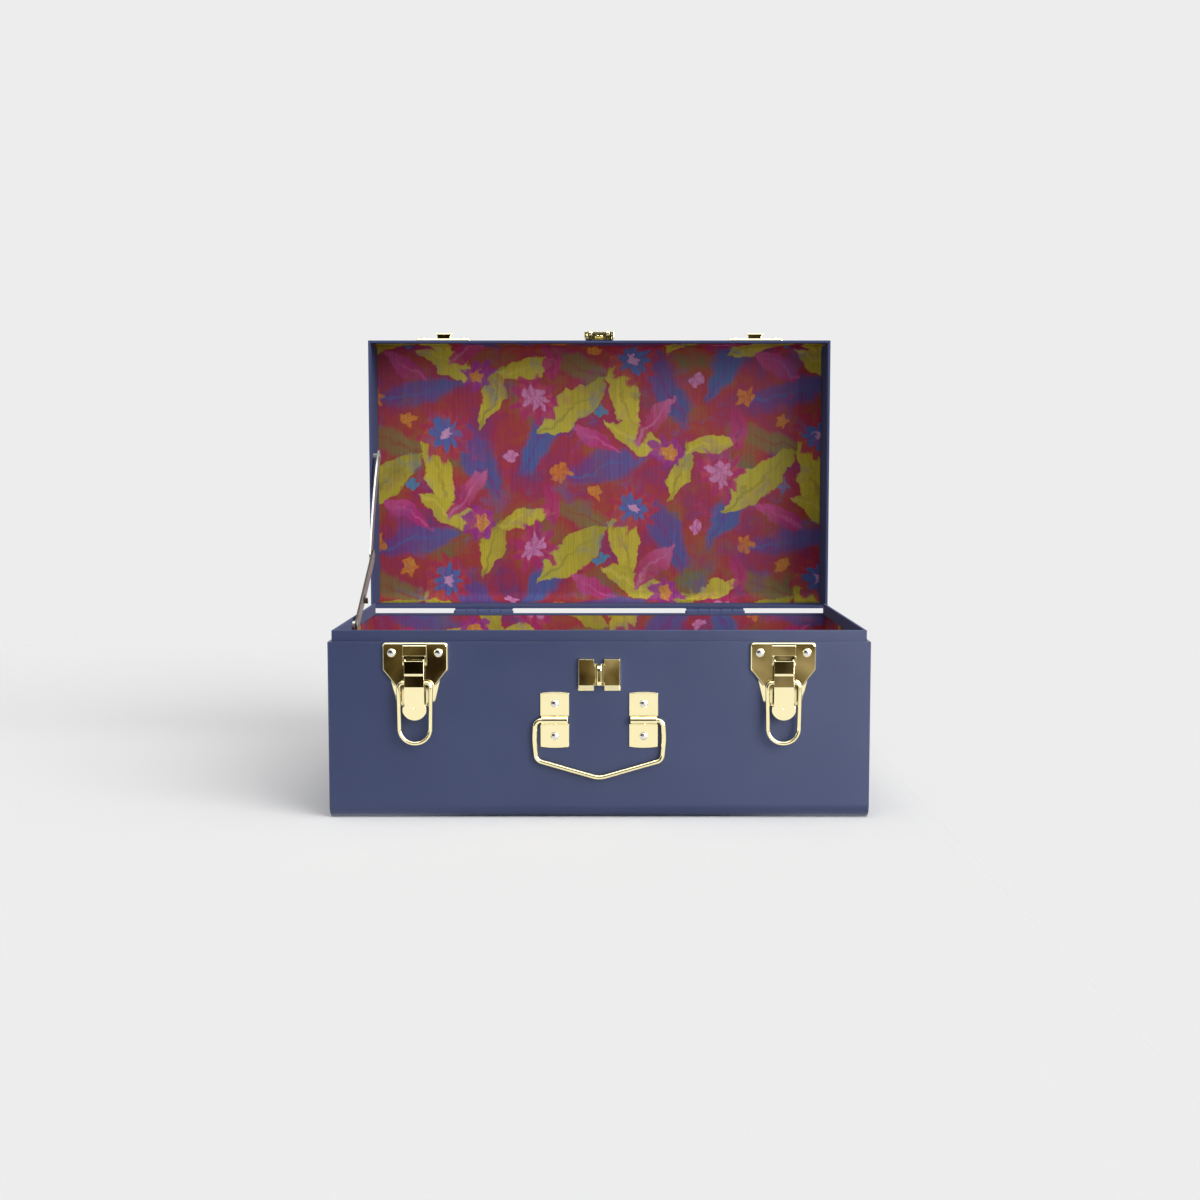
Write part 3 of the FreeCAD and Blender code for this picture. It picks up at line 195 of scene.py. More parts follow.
# Leaves: (across, up, half length, half width, turn in degrees, colour, second colour, edge softness)
LEAVES = (
    (-52, -18, 46, 15, 62, "#3D5D97", "#5A3F8C", 7.0),
    (58, 30, 50, 17, 118, "#46518F", "#7A2F78", 7.0),
    (4, -46, 48, 16, 12, "#6B3C80", "#3F5F9B", 8.0),
    (-20, 44, 44, 14, 160, "#7C6D3F", "#8A4A34", 7.0),
    (-24, 8, 42, 15, 38, "#BCAF30", "#8F8A2E", 1.6),
    (22, 18, 38, 13, 104, "#C4B635", "#A2952B", 1.6),
    (34, -20, 34, 12, -28, "#B5A82E", "#C9BC4A", 1.6),
    (72, -50, 30, 11, 70, "#BFB131", "#8E872F", 1.6),
    (-66, 40, 28, 10, 12, "#B9AB2E", "#C7B943", 1.6),
    (-6, -22, 27, 9, 150, "#B02A70", "#C4578F", 2.4),
    (50, -2, 30, 10, 52, "#A8275F", "#C26A97", 2.4),
    (-44, 56, 26, 9, 96, "#B5326F", "#8E2350", 2.4),
)
# Seed heads: (across, up, radius, lobes, how deep the lobes are cut, colour, second colour, edge softness)
SEED_HEADS = (
    (-58, 14, 21, 9, 0.16, "#A62463", "#B9475C", 4.0),
    (-58, 14, 11, 7, 0.20, "#CC86B4", "#B4558F", 2.4),
    (30, 50, 24, 11, 0.14, "#A22B4C", "#B3403A", 4.5),
    (30, 50, 13, 8, 0.20, "#3F6AA6", "#5B4C96", 2.6),
    (30, 50, 5, 5, 0.20, "#C68AB6", "#D0A4C4", 1.2),
    (60, -30, 15, 7, 0.18, "#8E2A86", "#B03A78", 3.0),
    (60, -30, 7, 5, 0.20, "#C97B2E", "#C9A23C", 1.6),
    (-34, -50, 9, 5, 0.16, "#C8792E", "#B5522E", 1.6),
    (0, 4, 6, 4, 0.18, "#3C84A0", "#4C6CA4", 1.2),
    (-4, 62, 7, 5, 0.18, "#C9702C", "#C99A3A", 1.2),
    (-80, -36, 6, 4, 0.18, "#C983B0", "#B55A90", 1.2),
)


def print_group(name, sizes):
    """Node group for one printed motif: its own inputs, and the ink it lays over what lies under it."""
    tree = bpy.data.node_groups.new(name, "ShaderNodeTree")
    for label, kind in [("Place", "NodeSocketVector"), ("Centre", "NodeSocketVector")] + sizes + [
            ("Softness", "NodeSocketFloat"), ("Brush", "NodeSocketFloat"), ("Under", "NodeSocketColor"),
            ("Ink", "NodeSocketColor"), ("Second Ink", "NodeSocketColor")]:
        tree.interface.new_socket(name=label, in_out="INPUT", socket_type=kind)
    tree.interface.new_socket(name="Colour", in_out="OUTPUT", socket_type="NodeSocketColor")
    given = add(tree, "NodeGroupInput").outputs
    away = add(tree, "ShaderNodeVectorMath", {0: given["Place"], 1: given["Centre"]}, operation="SUBTRACT")
    away = add(tree, "ShaderNodeSeparateXYZ", {0: away.outputs[0]})
    column = add(tree, "ShaderNodeMath", {0: away.outputs[0], 1: REPEAT_ACROSS}, operation="DIVIDE")
    column = add(tree, "ShaderNodeMath", {0: column.outputs[0]}, operation="ROUND")
    odd = add(tree, "ShaderNodeMath", {0: column.outputs[0], 1: 2.0}, operation="FLOORED_MODULO")
    across = add(tree, "ShaderNodeMath", {0: column.outputs[0], 1: -REPEAT_ACROSS, 2: away.outputs[0]},
                 operation="MULTIPLY_ADD")
    dropped = add(tree, "ShaderNodeMath", {0: odd.outputs[0], 1: REPEAT_UP / 2, 2: away.outputs[1]},
                  operation="MULTIPLY_ADD")
    row = add(tree, "ShaderNodeMath", {0: dropped.outputs[0], 1: REPEAT_UP}, operation="DIVIDE")
    row = add(tree, "ShaderNodeMath", {0: row.outputs[0]}, operation="ROUND")
    up = add(tree, "ShaderNodeMath", {0: row.outputs[0], 1: -REPEAT_UP, 2: dropped.outputs[0]},
             operation="MULTIPLY_ADD")
    return tree, given, add(tree, "ShaderNodeCombineXYZ", {0: across.outputs[0], 1: up.outputs[0]}).outputs[0]


def lay_ink(tree, given, inside, shade):
    """Ends a motif's group: soft edge, brushed unevenly, the two inks mixed by shade."""
    ragged = add(tree, "ShaderNodeMath", {0: given["Brush"], 1: given["Softness"], 2: inside}, operation="MULTIPLY_ADD")
    cover = add(tree, "ShaderNodeMapRange", {"Value": ragged.outputs[0], 1: 0.0, 2: given["Softness"], 3: 0.0, 4: 0.92},
                interpolation_type="SMOOTHSTEP")
    mixed = add(tree, "ShaderNodeMath", {0: given["Brush"], 1: 0.9, 2: shade}, operation="MULTIPLY_ADD", use_clamp=True)
    ink = add(tree, "ShaderNodeMix", {0: mixed.outputs[0], 6: given["Ink"], 7: given["Second Ink"]}, data_type="RGBA")
    whole = add(tree, "ShaderNodeMix", {0: cover.outputs[0], 6: given["Under"], 7: ink.outputs[2]}, data_type="RGBA")
    add(tree, "NodeGroupOutput", {"Colour": whole.outputs[2]})
    return tree


def leaf_group():
    """A leaf with a tapering outline; the second ink marks its rib and its tip."""
    tree, given, local = print_group("printed_leaf", [
        ("Half Length", "NodeSocketFloat"), ("Half Width", "NodeSocketFloat"), ("Turn", "NodeSocketFloat")])
    turned = add(tree, "ShaderNodeVectorRotate", {"Vector": local, "Angle": given["Turn"]}, rotation_type="Z_AXIS",
                 invert=True)
    part = add(tree, "ShaderNodeSeparateXYZ", {0: turned.outputs[0]})
    along = add(tree, "ShaderNodeMath", {0: part.outputs[0], 1: given["Half Length"]}, operation="DIVIDE")
    square = add(tree, "ShaderNodeMath", {0: along.outputs[0], 1: along.outputs[0]}, operation="MULTIPLY")
    taper = add(tree, "ShaderNodeMath", {0: 1.0, 1: square.outputs[0]}, operation="SUBTRACT")
    aside = add(tree, "ShaderNodeMath", {0: part.outputs[1]}, operation="ABSOLUTE")
    edge = add(tree, "ShaderNodeMath", {0: taper.outputs[0], 1: given["Half Width"]}, operation="MULTIPLY")
    inside = add(tree, "ShaderNodeMath", {0: edge.outputs[0], 1: aside.outputs[0]}, operation="SUBTRACT")
    rib = add(tree, "ShaderNodeMapRange", {"Value": aside.outputs[0], 1: 0.5, 2: 2.2, 3: 0.75, 4: 0.0})
    tip = add(tree, "ShaderNodeMapRange", {"Value": along.outputs[0], 1: -0.4, 2: 0.9, 3: 0.0, 4: 0.8})
    shade = add(tree, "ShaderNodeMath", {0: rib.outputs[0], 1: tip.outputs[0]}, operation="MAXIMUM")
    return lay_ink(tree, given, inside.outputs[0], shade.outputs[0])


def seed_head_group():
    """A round head with a lobed edge; the second ink marks its spokes."""
    tree, given, local = print_group("printed_seed_head", [
        ("Radius", "NodeSocketFloat"), ("Lobes", "NodeSocketFloat"), ("Cut", "NodeSocketFloat")])
    part = add(tree, "ShaderNodeSeparateXYZ", {0: local})
    reach = add(tree, "ShaderNodeVectorMath", {0: local}, operation="LENGTH")
    angle = add(tree, "ShaderNodeMath", {0: part.outputs[1], 1: part.outputs[0]}, operation="ARCTAN2")
    wave = add(tree, "ShaderNodeMath", {0: angle.outputs[0], 1: given["Lobes"]}, operation="MULTIPLY")
    wave = add(tree, "ShaderNodeMath", {0: wave.outputs[0]}, operation="COSINE")
    cut = add(tree, "ShaderNodeMath", {0: wave.outputs[0], 1: given["Cut"], 2: 1.0}, operation="MULTIPLY_ADD")
    edge = add(tree, "ShaderNodeMath", {0: cut.outputs[0], 1: given["Radius"]}, operation="MULTIPLY")
    inside = add(tree, "ShaderNodeMath", {0: edge.outputs[0], 1: reach.outputs["Value"]}, operation="SUBTRACT")
    spoke = add(tree, "ShaderNodeMapRange", {"Value": wave.outputs[0], 1: -1.0, 2: 0.2, 3: 0.8, 4: 0.1})
    return lay_ink(tree, given, inside.outputs[0], spoke.outputs[0])


# Faces of the lining card at rest: floor of the case, panel of the open lid and its middle
FLOOR_CARD_Z = 1.9 * MM
LID_CARD_Y = 172.15 * MM
LID_MIDDLE_Z = 251 * MM


def printed_card(tree):
    """Printed paper on card: soft layered washes with leaf sprays over them, brush streaks, and a paper fibre."""
    place = add(tree, "ShaderNodeTexCoord").outputs["Object"]
    axis = add(tree, "ShaderNodeSeparateXYZ", {0: place})
    normal = add(tree, "ShaderNodeSeparateXYZ", {0: add(tree, "ShaderNodeNewGeometry").outputs["True Normal"]})
    sideways = add(tree, "ShaderNodeMath", {0: normal.outputs[0]}, operation="ABSOLUTE")
    on_end = add(tree, "ShaderNodeMath", {0: sideways.outputs[0], 1: 0.5}, operation="GREATER_THAN")
    across = add(tree, "ShaderNodeMix", {0: on_end.outputs[0], 2: axis.outputs[0], 3: axis.outputs[1]})

    # The print runs on round the bends: from the floor up front and back, from the lid's panel out both ways
    forward = add(tree, "ShaderNodeMath", {0: 0.0, 1: axis.outputs[1]}, operation="SUBTRACT").outputs[0]
    in_front = add(tree, "ShaderNodeMath", {0: forward}, operation="SIGN").outputs[0]
    height = axis.outputs[2]
    above_floor = add(tree, "ShaderNodeMath", {0: height, 1: FLOOR_CARD_Z}, operation="SUBTRACT").outputs[0]
    in_base = add(tree, "ShaderNodeMath", {0: above_floor, 1: in_front, 2: forward}, operation="MULTIPLY_ADD")
    off_panel = add(tree, "ShaderNodeMath", {0: forward, 1: LID_CARD_Y}, operation="ADD").outputs[0]
    above_middle = add(tree, "ShaderNodeMath", {0: height, 1: LID_MIDDLE_Z}, operation="SUBTRACT").outputs[0]
    upper = add(tree, "ShaderNodeMath", {0: above_middle}, operation="SIGN").outputs[0]
    on_panel = add(tree, "ShaderNodeMath", {0: height, 1: LID_CARD_Y}, operation="SUBTRACT").outputs[0]
    in_lid = add(tree, "ShaderNodeMath", {0: off_panel, 1: upper, 2: on_panel}, operation="MULTIPLY_ADD")
    is_lid = add(tree, "ShaderNodeMath", {0: height, 1: LID_RIM_Z}, operation="GREATER_THAN").outputs[0]
    unrolled = add(tree, "ShaderNodeMix", {0: is_lid, 2: in_base.outputs[0], 3: in_lid.outputs[0]})
    up = add(tree, "ShaderNodeMix", {0: on_end.outputs[0], 2: unrolled.outputs[0], 3: height})
    flat = add(tree, "ShaderNodeCombineXYZ", {0: across.outputs[0], 1: up.outputs[0]})
    flat = add(tree, "ShaderNodeVectorMath", {0: flat.outputs[0], 3: 1 / MM}, operation="SCALE").outputs[0]
    wobble = add(tree, "ShaderNodeTexNoise", {"Vector": flat, "Scale": 1 / 26, "Detail": 4.0, "Roughness": 0.58})
    drift = add(tree, "ShaderNodeVectorMath", {0: wobble.outputs["Color"], 1: (0.5, 0.5, 0.5)}, operation="SUBTRACT")
    drift = add(tree, "ShaderNodeVectorMath", {0: drift.outputs[0], 1: (26.0, 26.0, 0.0)}, operation="MULTIPLY")
    drawn = add(tree, "ShaderNodeVectorMath", {0: flat, 1: drift.outputs[0]}, operation="ADD").outputs[0]

    # Ground of soft washes, 40 to 60 mm across
    ground = add(tree, "ShaderNodeTexNoise", {"Vector": drawn, "Scale": 1 / 58, "Detail": 4.0, "Roughness": 0.6})
    wash = add(tree, "ShaderNodeValToRGB", {0: ground.outputs["Fac"]})
    wash.color_ramp.elements[0].position = 0.30
    wash.color_ramp.elements[0].color = linear("#56467A")
    wash.color_ramp.elements[1].position = 0.72
    wash.color_ramp.elements[1].color = linear("#6B6A44")
    for where, code in ((0.38, "#82305F"), (0.45, "#982C4C"), (0.52, "#9E3737"), (0.58, "#954A34"),
                        (0.65, "#7C5C3C")):
        wash.color_ramp.elements.new(where).color = linear(code)
    colour = wash.outputs[0]

    bristle = add(tree, "ShaderNodeVectorMath", {0: drawn, 1: (1.0, 0.35, 1.0)}, operation="MULTIPLY")
    brush = add(tree, "ShaderNodeTexNoise", {"Vector": bristle.outputs[0], "Scale": 1 / 7, "Detail": 5.0,
                                             "Roughness": 0.65})
    brush = add(tree, "ShaderNodeMath", {0: brush.outputs["Fac"], 1: 0.5}, operation="SUBTRACT").outputs[0]
    leaf, seed_head = leaf_group(), seed_head_group()
    for x, y, length, width, turn, ink, second, soft in LEAVES:
        colour = add(tree, "ShaderNodeGroup", {
            "Place": drawn, "Centre": (x, y, 0.0), "Half Length": length, "Half Width": width,
            "Turn": math.radians(turn), "Softness": soft, "Brush": brush, "Under": colour, "Ink": linear(ink),
            "Second Ink": linear(second)}, node_tree=leaf).outputs[0]
    for x, y, radius, lobes, cut, ink, second, soft in SEED_HEADS:
        colour = add(tree, "ShaderNodeGroup", {
            "Place": drawn, "Centre": (x, y, 0.0), "Radius": radius, "Lobes": lobes, "Cut": cut, "Softness": soft,
            "Brush": brush, "Under": colour, "Ink": linear(ink), "Second Ink": linear(second)},
            node_tree=seed_head).outputs[0]

    # Thin glazes over everything: (patch mm, colour, where it starts and is full, how strong, place)
    for size, code, low, high, most, seed in (
            (30, "#3A62A4", 0.56, 0.72, 0.55, 11.0), (38, "#6A3C86", 0.55, 0.72, 0.5, 37.0),
            (44, "#7A5A3C", 0.56, 0.70, 0.45, 59.0), (24, "#B33C6E", 0.58, 0.70, 0.5, 83.0)):
        moved = add(tree, "ShaderNodeVectorMath", {0: drawn, 1: (seed * 40, seed * 23, 0)}, operation="ADD")
        spread = add(tree, "ShaderNodeTexNoise", {"Vector": moved.outputs[0], "Scale": 1 / size, "Detail": 5.0,
                                                  "Roughness": 0.65})
        cover = add(tree, "ShaderNodeMapRange", {"Value": spread.outputs["Fac"], 1: low, 2: high, 3: 0.0, 4: most})
        colour = add(tree, "ShaderNodeMix", {0: cover.outputs[0], 6: colour, 7: linear(code)},
                     data_type="RGBA").outputs[2]

    # Brush streaks down the print, about 1.2 mm apart
    pulled = add(tree, "ShaderNodeVectorMath", {0: flat, 1: (1.0, 0.02, 1.0)}, operation="MULTIPLY")
    streak = add(tree, "ShaderNodeTexNoise", {"Vector": pulled.outputs[0], "Scale": 1 / 1.2, "Detail": 4.0})
    shade = add(tree, "ShaderNodeMapRange", {"Value": streak.outputs["Fac"], 1: 0.3, 2: 0.7, 3: 0.82, 4: 1.14})
    colour = add(tree, "ShaderNodeVectorMath", {0: colour, 3: shade.outputs[0]}, operation="SCALE").outputs[0]
    fibre = add(tree, "ShaderNodeTexNoise", {"Vector": flat, "Scale": 1 / 0.6, "Detail": 2.0})
    bump = add(tree, "ShaderNodeBump", {"Height": fibre.outputs["Fac"], "Strength": 0.2, "Distance": 0.03 * MM})
    gloss = add(tree, "ShaderNodeMapRange", {"Value": streak.outputs["Fac"], 3: 0.6, 4: 0.75})
    return add(tree, "ShaderNodeBsdfPrincipled", {
        "Base Color": colour, "Roughness": gloss.outputs[0], "Normal": bump.outputs[0], "Specular IOR Level": 0.12})


enamel = finish_material("satin_navy_enamel", satin_enamel)
brass = finish_material("polished_brass_plate", polished_brass)
lid_brass = finish_material("brass_plate_shaded_forward", hasp_brass)
# Hasp bracket and pin: brass with painted shade on the faces that look forward when the lid is open
nickel = finish_material("nickel_plate", nickel_plate)
strip = finish_material("zinc_plated_strip", plated_strip)
raw_strip = finish_material("raw_edged_zinc_strip", raw_edged_strip)
print_card = finish_material("printed_lining_card", printed_card)
finishes = {"navy_paint": enamel, "brass_plate": brass, "nickel": nickel, "printed_lining": print_card}

own_finishes = {"hasp_bracket": lid_brass, "hasp_pin": lid_brass, "stay_lower_arm": raw_strip}
for entry in frame["record"]["subparts"]:
    node = frame["nodes"][entry["node"]]
    node.data.materials.clear()
    usual = strip if entry["node"].startswith("stay_") else finishes[entry["material_slot"]]
    node.data.materials.append(own_finishes.get(entry["node"], usual))


# Rivets: heads and shanks set along the fittings, one piece for each row of them
def rivet_tree():
    """Geometry nodes that set a domed head and its shank on every marked point."""
    tree = bpy.data.node_groups.new("domed_rivets", "GeometryNodeTree")
    tree.interface.new_socket(name="Geometry", in_out="INPUT", socket_type="NodeSocketGeometry")
    for label in ("Head Diameter", "Dome Height", "Shank Diameter", "Grip"):
        tree.interface.new_socket(name=label, in_out="INPUT", socket_type="NodeSocketFloat")
    tree.interface.new_socket(name="Finish", in_out="INPUT", socket_type="NodeSocketMaterial")
    tree.interface.new_socket(name="Geometry", in_out="OUTPUT", socket_type="NodeSocketGeometry")
    given = add(tree, "NodeGroupInput").outputs
    radius = add(tree, "ShaderNodeMath", {0: given["Head Diameter"], 1: 0.5}, operation="MULTIPLY").outputs[0]
    inward = add(tree, "ShaderNodeMath", {0: radius, 1: -1.0}, operation="MULTIPLY").outputs[0]
    rise = add(tree, "ShaderNodeMath", {0: given["Dome Height"], 1: -1.0}, operation="MULTIPLY").outputs[0]
    side = add(tree, "ShaderNodeMath", {0: rise, 1: 0.7}, operation="MULTIPLY").outputs[0]
    crown = add(tree, "ShaderNodeMath", {0: radius, 1: -0.4}, operation="MULTIPLY").outputs[0]
    pole = add(tree, "ShaderNodeCombineXYZ", {0: inward, 1: rise})
    shoulder = add(tree, "ShaderNodeCombineXYZ", {1: side})
    slope = add(tree, "ShaderNodeCombineXYZ", {0: crown, 1: rise})
    profile = add(tree, "GeometryNodeCurvePrimitiveBezierSegment", {
        "Resolution": 10, "Start": (0.0, 0.0, 0.0), "Start Handle": shoulder.outputs[0],
        "End Handle": slope.outputs[0], "End": pole.outputs[0]}, mode="POSITION")
    ring = add(tree, "GeometryNodeCurvePrimitiveCircle", {"Resolution": 36, "Radius": radius})
    dome = add(tree, "GeometryNodeCurveToMesh", {"Curve": ring.outputs[0], "Profile Curve": profile.outputs[0]})
    dome = add(tree, "GeometryNodeMergeByDistance", {"Geometry": dome.outputs[0], "Distance": 0.01 * MM})
    shank_radius = add(tree, "ShaderNodeMath", {0: given["Shank Diameter"], 1: 0.5}, operation="MULTIPLY")
    half_grip = add(tree, "ShaderNodeMath", {0: given["Grip"], 1: -0.5}, operation="MULTIPLY")
    middle = add(tree, "ShaderNodeCombineXYZ", {2: half_grip.outputs[0]})
    shank = add(tree, "GeometryNodeMeshCylinder", {"Vertices": 24, "Radius": shank_radius.outputs[0],
                                                   "Depth": given["Grip"]})
    shank = add(tree, "GeometryNodeTransform", {"Geometry": shank.outputs[0], "Translation": middle.outputs[0]})
    both = add(tree, "GeometryNodeJoinGeometry")
    for source in (dome, shank):
        tree.links.new(source.outputs[0], both.inputs[0])
    outward = add(tree, "GeometryNodeInputNamedAttribute", {"Name": "outward"}, data_type="FLOAT_VECTOR")
    turn = add(tree, "FunctionNodeAlignRotationToVector", {"Vector": outward.outputs[0]}, axis="Z")
    placed = add(tree, "GeometryNodeInstanceOnPoints", {"Points": given["Geometry"], "Instance": both.outputs[0],
                                                        "Rotation": turn.outputs[0]})
    real = add(tree, "GeometryNodeRealizeInstances", {"Geometry": placed.outputs[0]})
    smooth = add(tree, "GeometryNodeSetShadeSmooth", {"Geometry": real.outputs[0]})
    painted = add(tree, "GeometryNodeSetMaterial", {"Geometry": smooth.outputs[0], "Material": given["Finish"]})
    add(tree, "NodeGroupOutput", {"Geometry": painted.outputs[0]})
    return tree


def set_rivets(name, body, node, places, outward, head, dome, grip):
    """A row of nickel rivets that stands for one CAD node; sizes and places in millimetres."""
    seats = bpy.data.meshes.new(name)
    seats.from_pydata([[value * MM for value in place] for place in places], [], [])
    facing = seats.attributes.new("outward", "FLOAT_VECTOR", "POINT")
    for item in facing.data:
        item.vector = outward
    piece = bpy.data.objects.new(name, seats)
    bpy.context.scene.collection.objects.link(piece)
    setter = piece.modifiers.new("rivets", "NODES")
    setter.node_group = rivets
    sizes = {"Head Diameter": head * MM, "Dome Height": dome * MM, "Shank Diameter": RIVET_SHANK * MM,
             "Grip": grip * MM, "Finish": nickel}
    for item in rivets.interface.items_tree:
        if item.in_out == "INPUT" and item.name in sizes:
            setter[item.identifier] = sizes[item.name]
    bpy.context.view_layer.update()
    made = bpy.data.meshes.new_from_object(piece.evaluated_get(bpy.context.evaluated_depsgraph_get()))
    piece.modifiers.clear()
    piece.data = made
    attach(piece, body)
    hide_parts(node)


rivets = rivet_tree()
RIVET_SHANK = 3.2
LATCH_RIVETS_X = (-152.5, -118.1, 118.1, 152.5)
HANDLE_RIVETS_X = (-32.8, 32.8)
HASP_RIVETS_X = (-6.5, 6.5)
HINGE_RIVETS_X = (-118.35, -84.35, 84.35, 118.35)
FRONT, BACK, UP, DOWN = (0, -1, 0), (0, 1, 0), (0, 0, 1), (0, 0, -1)
# Rows: (name, body, CAD node, places, way out, head diameter, dome height, grip)
for row in (
        ("latch_rivet_row", "base", "latch_rivets",
         [(x, -119.05, 123.7) for x in LATCH_RIVETS_X], FRONT, 6.4, 1.9, 3.8),
        ("handle_rivet_row", "base", "handle_rivets",
         [(x, -117.45, z) for x in HANDLE_RIVETS_X for z in (61.6, 85.6)], FRONT, 6.0, 1.7, 2.2),
        ("strike_rivet_row", "lid", "strike_rivets",
         [(x, 128.25, 369.3) for x in LATCH_RIVETS_X], UP, 6.4, 1.9, 2.7),
        ("hasp_rivet_row", "lid", "hasp_rivets",
         [(x, 132.25, 368.8) for x in HASP_RIVETS_X], UP, 6.0, 1.2, 2.2),
        ("hinge_rivet_row_base", "base", "hinge_rivets_base",
         [(x, 117.75, 116.3) for x in HINGE_RIVETS_X], BACK, 6.0, 1.2, 2.5),
        ("hinge_rivet_row_lid", "lid", "hinge_rivets_lid",
         [(x, 135.05, 133.6) for x in HINGE_RIVETS_X], DOWN, 6.0, 1.2, 2.5)):
    set_rivets(*row)


# Stage, in metres: a pale floor that fades into the backdrop, a dim room for the metal to mirror, soft light from
# the right
FLOOR_REACH = 2.2
FLOOR_FADE = (0.8, 1.7)
MIRRORED_FLOOR = (0.13, 0.2)
SHADELESS_SIDE_X = (0.19, 0.27)
ROOM_SIDE = 3.0
ROOM_NEAR_Y, ROOM_FAR_Y = -0.8, -2.4
ROOM_FLOOR_Z, ROOM_HEIGHT = 0.002, 2.2
FRONT_WALL_END_X = 0.7
LEFT_WALL_END_Y = -1.2
WINDOW_X = (-0.26, 0.0)
SOFTBOX_LEFT, SOFTBOX_RIGHT = (0.72, -1.72), (1.5, -0.95)
SOFTBOX_LOW, SOFTBOX_HIGH = 0.1, 1.45
SOFTBOX_MIDDLE = (1.1, -1.35, 0.75)


def floor_paint(tree):
    """Matt pale studio paper; polished metal sees it as the pale backdrop, and the lit side has hardly a shadow."""
    place = add(tree, "ShaderNodeTexCoord").outputs["Object"]
    reach = add(tree, "ShaderNodeVectorMath", {0: place}, operation="LENGTH")
    fade = add(tree, "ShaderNodeMapRange", {"Value": reach.outputs["Value"], 1: FLOOR_FADE[0], 2: FLOOR_FADE[1]},
               interpolation_type="SMOOTHSTEP")
    spot = add(tree, "ShaderNodeSeparateXYZ", {0: place})
    lit_side = add(tree, "ShaderNodeMapRange", {
        "Value": spot.outputs[0], 1: SHADELESS_SIDE_X[0], 2: SHADELESS_SIDE_X[1], 3: 0.0, 4: 0.85},
        interpolation_type="SMOOTHSTEP")
    fade = add(tree, "ShaderNodeMath", {0: fade.outputs[0], 1: lit_side.outputs[0]}, operation="MAXIMUM")
    paper = add(tree, "ShaderNodeBsdfDiffuse", {"Color": linear("#EBEBEB")})
    clear = add(tree, "ShaderNodeBsdfTransparent")
    lit = add(tree, "ShaderNodeMixShader", {0: fade.outputs[0], 1: paper.outputs[0], 2: clear.outputs[0]})
    mirrored = add(tree, "ShaderNodeEmission", {"Color": linear("#FFFFFF"), "Strength": 1.0})
    clear_of_trunk = add(tree, "ShaderNodeMapRange", {
        "Value": reach.outputs["Value"], 1: MIRRORED_FLOOR[0], 2: MIRRORED_FLOOR[1]},
        interpolation_type="SMOOTHSTEP")
    seen = add(tree, "ShaderNodeMath", {0: add(tree, "ShaderNodeLightPath").outputs["Is Glossy Ray"],
                                        1: clear_of_trunk.outputs[0]}, operation="MULTIPLY")
    return add(tree, "ShaderNodeMixShader", {0: seen.outputs[0], 1: lit.outputs[0], 2: mirrored.outputs[0]})


def dim_room(tree):
    """What stands before the table: a dim warm room, seen only mirrored, darker upwards and to the left."""
    place = add(tree, "ShaderNodeTexCoord").outputs["Object"]
    stretch = add(tree, "ShaderNodeMapping", {"Vector": place, "Scale": (1.0, 0.12, 0.3)})
    shape = add(tree, "ShaderNodeTexNoise", {"Vector": stretch.outputs[0], "Scale": 1 / 0.07, "Detail": 3.0})
    spot = add(tree, "ShaderNodeSeparateXYZ", {0: place})
    window = add(tree, "ShaderNodeMapRange", {"Value": spot.outputs[0], 1: WINDOW_X[0], 2: WINDOW_X[1],
                                              3: -0.08, 4: 0.06})
    light = add(tree, "ShaderNodeMath", {0: shape.outputs["Fac"], 1: window.outputs[0]}, operation="ADD")
    tone = add(tree, "ShaderNodeValToRGB", {0: light.outputs[0]})
    tone.color_ramp.elements[0].position = 0.36
    tone.color_ramp.elements[0].color = linear("#2A2013")
    tone.color_ramp.elements[1].position = 0.68
    tone.color_ramp.elements[1].color = linear("#A89B80")
    tone.color_ramp.elements.new(0.5).color = linear("#655738")
    dusk = add(tree, "ShaderNodeMapRange", {"Value": spot.outputs[2], 1: 0.0, 2: 0.3, 3: 1.0, 4: 0.2})
    return add(tree, "ShaderNodeEmission", {"Color": tone.outputs[0], "Strength": dusk.outputs[0]})


def stage_sheet(name, corners, faces, material):
    """A sheet of the stage, which is no piece of the part."""
    mesh = bpy.data.meshes.new(name)
    mesh.from_pydata(corners, [], faces)
    mesh.materials.append(material)
    thing = bpy.data.objects.new(name, mesh)
    bpy.context.scene.collection.objects.link(thing)
    return thing


stage_sheet("studio_floor", [(-FLOOR_REACH, -FLOOR_REACH, 0), (FLOOR_REACH, -FLOOR_REACH, 0),
                             (FLOOR_REACH, FLOOR_REACH, 0), (-FLOOR_REACH, FLOOR_REACH, 0)], [(0, 1, 2, 3)],
            finish_material("studio_paper", floor_paint))
dim = stage_sheet("dim_room_front", [
    (-ROOM_SIDE, ROOM_NEAR_Y, ROOM_FLOOR_Z), (ROOM_SIDE, ROOM_NEAR_Y, ROOM_FLOOR_Z),
    (ROOM_SIDE, ROOM_FAR_Y, ROOM_FLOOR_Z), (-ROOM_SIDE, ROOM_FAR_Y, ROOM_FLOOR_Z),
    (-ROOM_SIDE, ROOM_FAR_Y, ROOM_HEIGHT), (FRONT_WALL_END_X, ROOM_FAR_Y, ROOM_HEIGHT),
    (FRONT_WALL_END_X, ROOM_FAR_Y, ROOM_FLOOR_Z), (-ROOM_SIDE, LEFT_WALL_END_Y, ROOM_FLOOR_Z),
    (-ROOM_SIDE, LEFT_WALL_END_Y, ROOM_HEIGHT)],
    [(0, 1, 2, 6, 3), (3, 6, 5, 4), (7, 3, 4, 8)], finish_material("dim_room", dim_room))


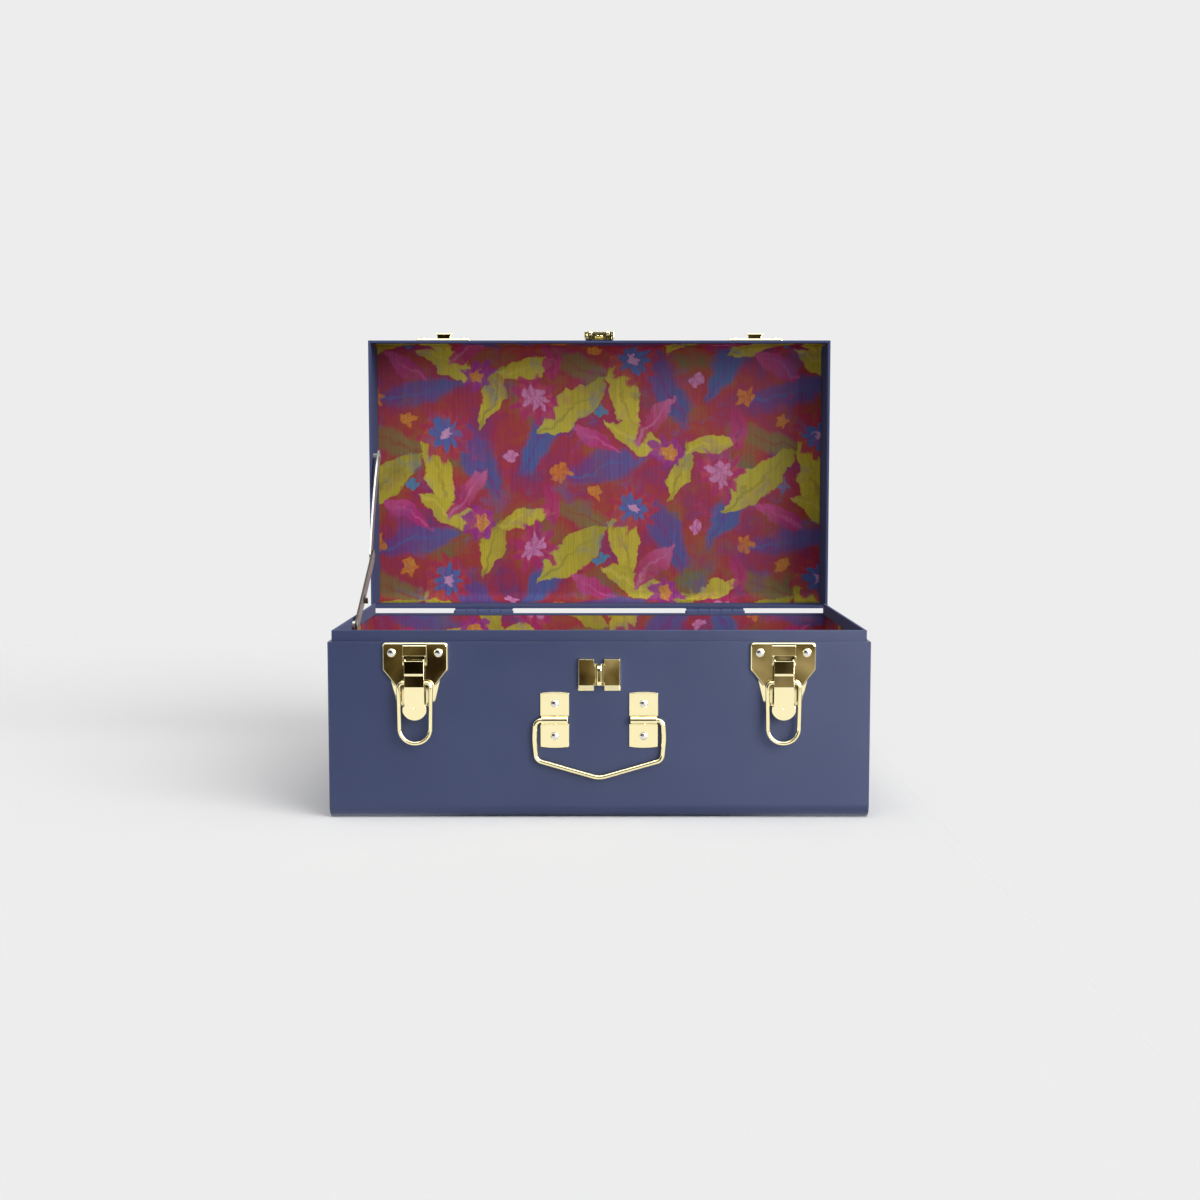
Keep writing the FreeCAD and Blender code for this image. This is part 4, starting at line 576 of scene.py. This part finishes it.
def softbox_cloth(tree):
    """Diffusing cloth of the softbox, a little brighter in its middle."""
    place = add(tree, "ShaderNodeTexCoord").outputs["Object"]
    middle = add(tree, "ShaderNodeVectorMath", {0: place, 1: SOFTBOX_MIDDLE}, operation="DISTANCE")
    glow = add(tree, "ShaderNodeMapRange", {"Value": middle.outputs["Value"], 1: 0.1, 2: 0.9, 3: 20.0, 4: 12.5})
    return add(tree, "ShaderNodeEmission", {"Color": linear("#FFFFFF"), "Strength": glow.outputs[0]})


softbox = stage_sheet("softbox_right", [
    (*SOFTBOX_LEFT, SOFTBOX_LOW), (*SOFTBOX_RIGHT, SOFTBOX_LOW), (*SOFTBOX_RIGHT, SOFTBOX_HIGH),
    (*SOFTBOX_LEFT, SOFTBOX_HIGH)], [(0, 1, 2, 3)], finish_material("softbox_cloth", softbox_cloth))
for card in (dim, softbox):
    card.visible_camera = False
    card.visible_diffuse = False
    card.visible_shadow = False

# The lid's sheets are kept out of the softbox: shut, and seen from behind, they would mirror it as one white sheet
kept_out = bpy.data.collections.new("kept_out_of_softbox")
for label in ("lid_wrap", "lid_end_left", "lid_end_right"):
    kept_out.objects.link(frame["nodes"][label])
for item in kept_out.collection_objects:
    item.light_linking.link_state = "EXCLUDE"
softbox.light_linking.receiver_collection = kept_out

world = bpy.data.worlds.new("studio")
bpy.context.scene.world = world
world.use_nodes = True
sky = world.node_tree
sky.nodes.clear()
path = add(sky, "ShaderNodeLightPath")
ambient = add(sky, "ShaderNodeBackground", {"Color": linear("#EDEDED"), "Strength": 0.46})
backdrop = add(sky, "ShaderNodeBackground", {"Color": linear("#EDEDED"), "Strength": 1.0})
seen = add(sky, "ShaderNodeMath", {0: path.outputs["Is Camera Ray"], 1: path.outputs["Is Glossy Ray"]},
           operation="MAXIMUM")
seen = add(sky, "ShaderNodeMath", {0: seen.outputs[0], 1: path.outputs["Is Transmission Ray"]}, operation="MAXIMUM")
mix = add(sky, "ShaderNodeMixShader", {0: seen.outputs[0], 1: ambient.outputs[0], 2: backdrop.outputs[0]})
add(sky, "ShaderNodeOutputWorld", {"Surface": mix.outputs[0]})


def soft_sun(name, strength, spread, height, turn):
    """A wide sun at a height above the floor, turned anticlockwise from straight in front; degrees."""
    lamp = bpy.data.objects.new(name, bpy.data.lights.new(name, "SUN"))
    lamp.data.energy = strength
    lamp.data.angle = math.radians(spread)
    lamp.rotation_euler = (math.radians(90 - height), 0, math.radians(turn))
    bpy.context.scene.collection.objects.link(lamp)


soft_sun("low_key_right", 1.85, 45, 26, 48)
soft_sun("high_fill", 1.25, 60, 72, 10)

CAMERA_DROP = 4.83
camera = bpy.data.objects.new("photo_camera", bpy.data.cameras.new("photo_camera"))
camera.data.lens = 50
camera.data.sensor_width = 36
camera.data.clip_end = 50
camera.location = (0.6 * MM, -1334.55 * MM, 265.3 * MM)
camera.rotation_euler = (math.radians(90 - CAMERA_DROP), 0, 0)
bpy.context.scene.collection.objects.link(camera)
bpy.context.scene.camera = camera
bpy.context.scene.view_settings.view_transform = "Standard"
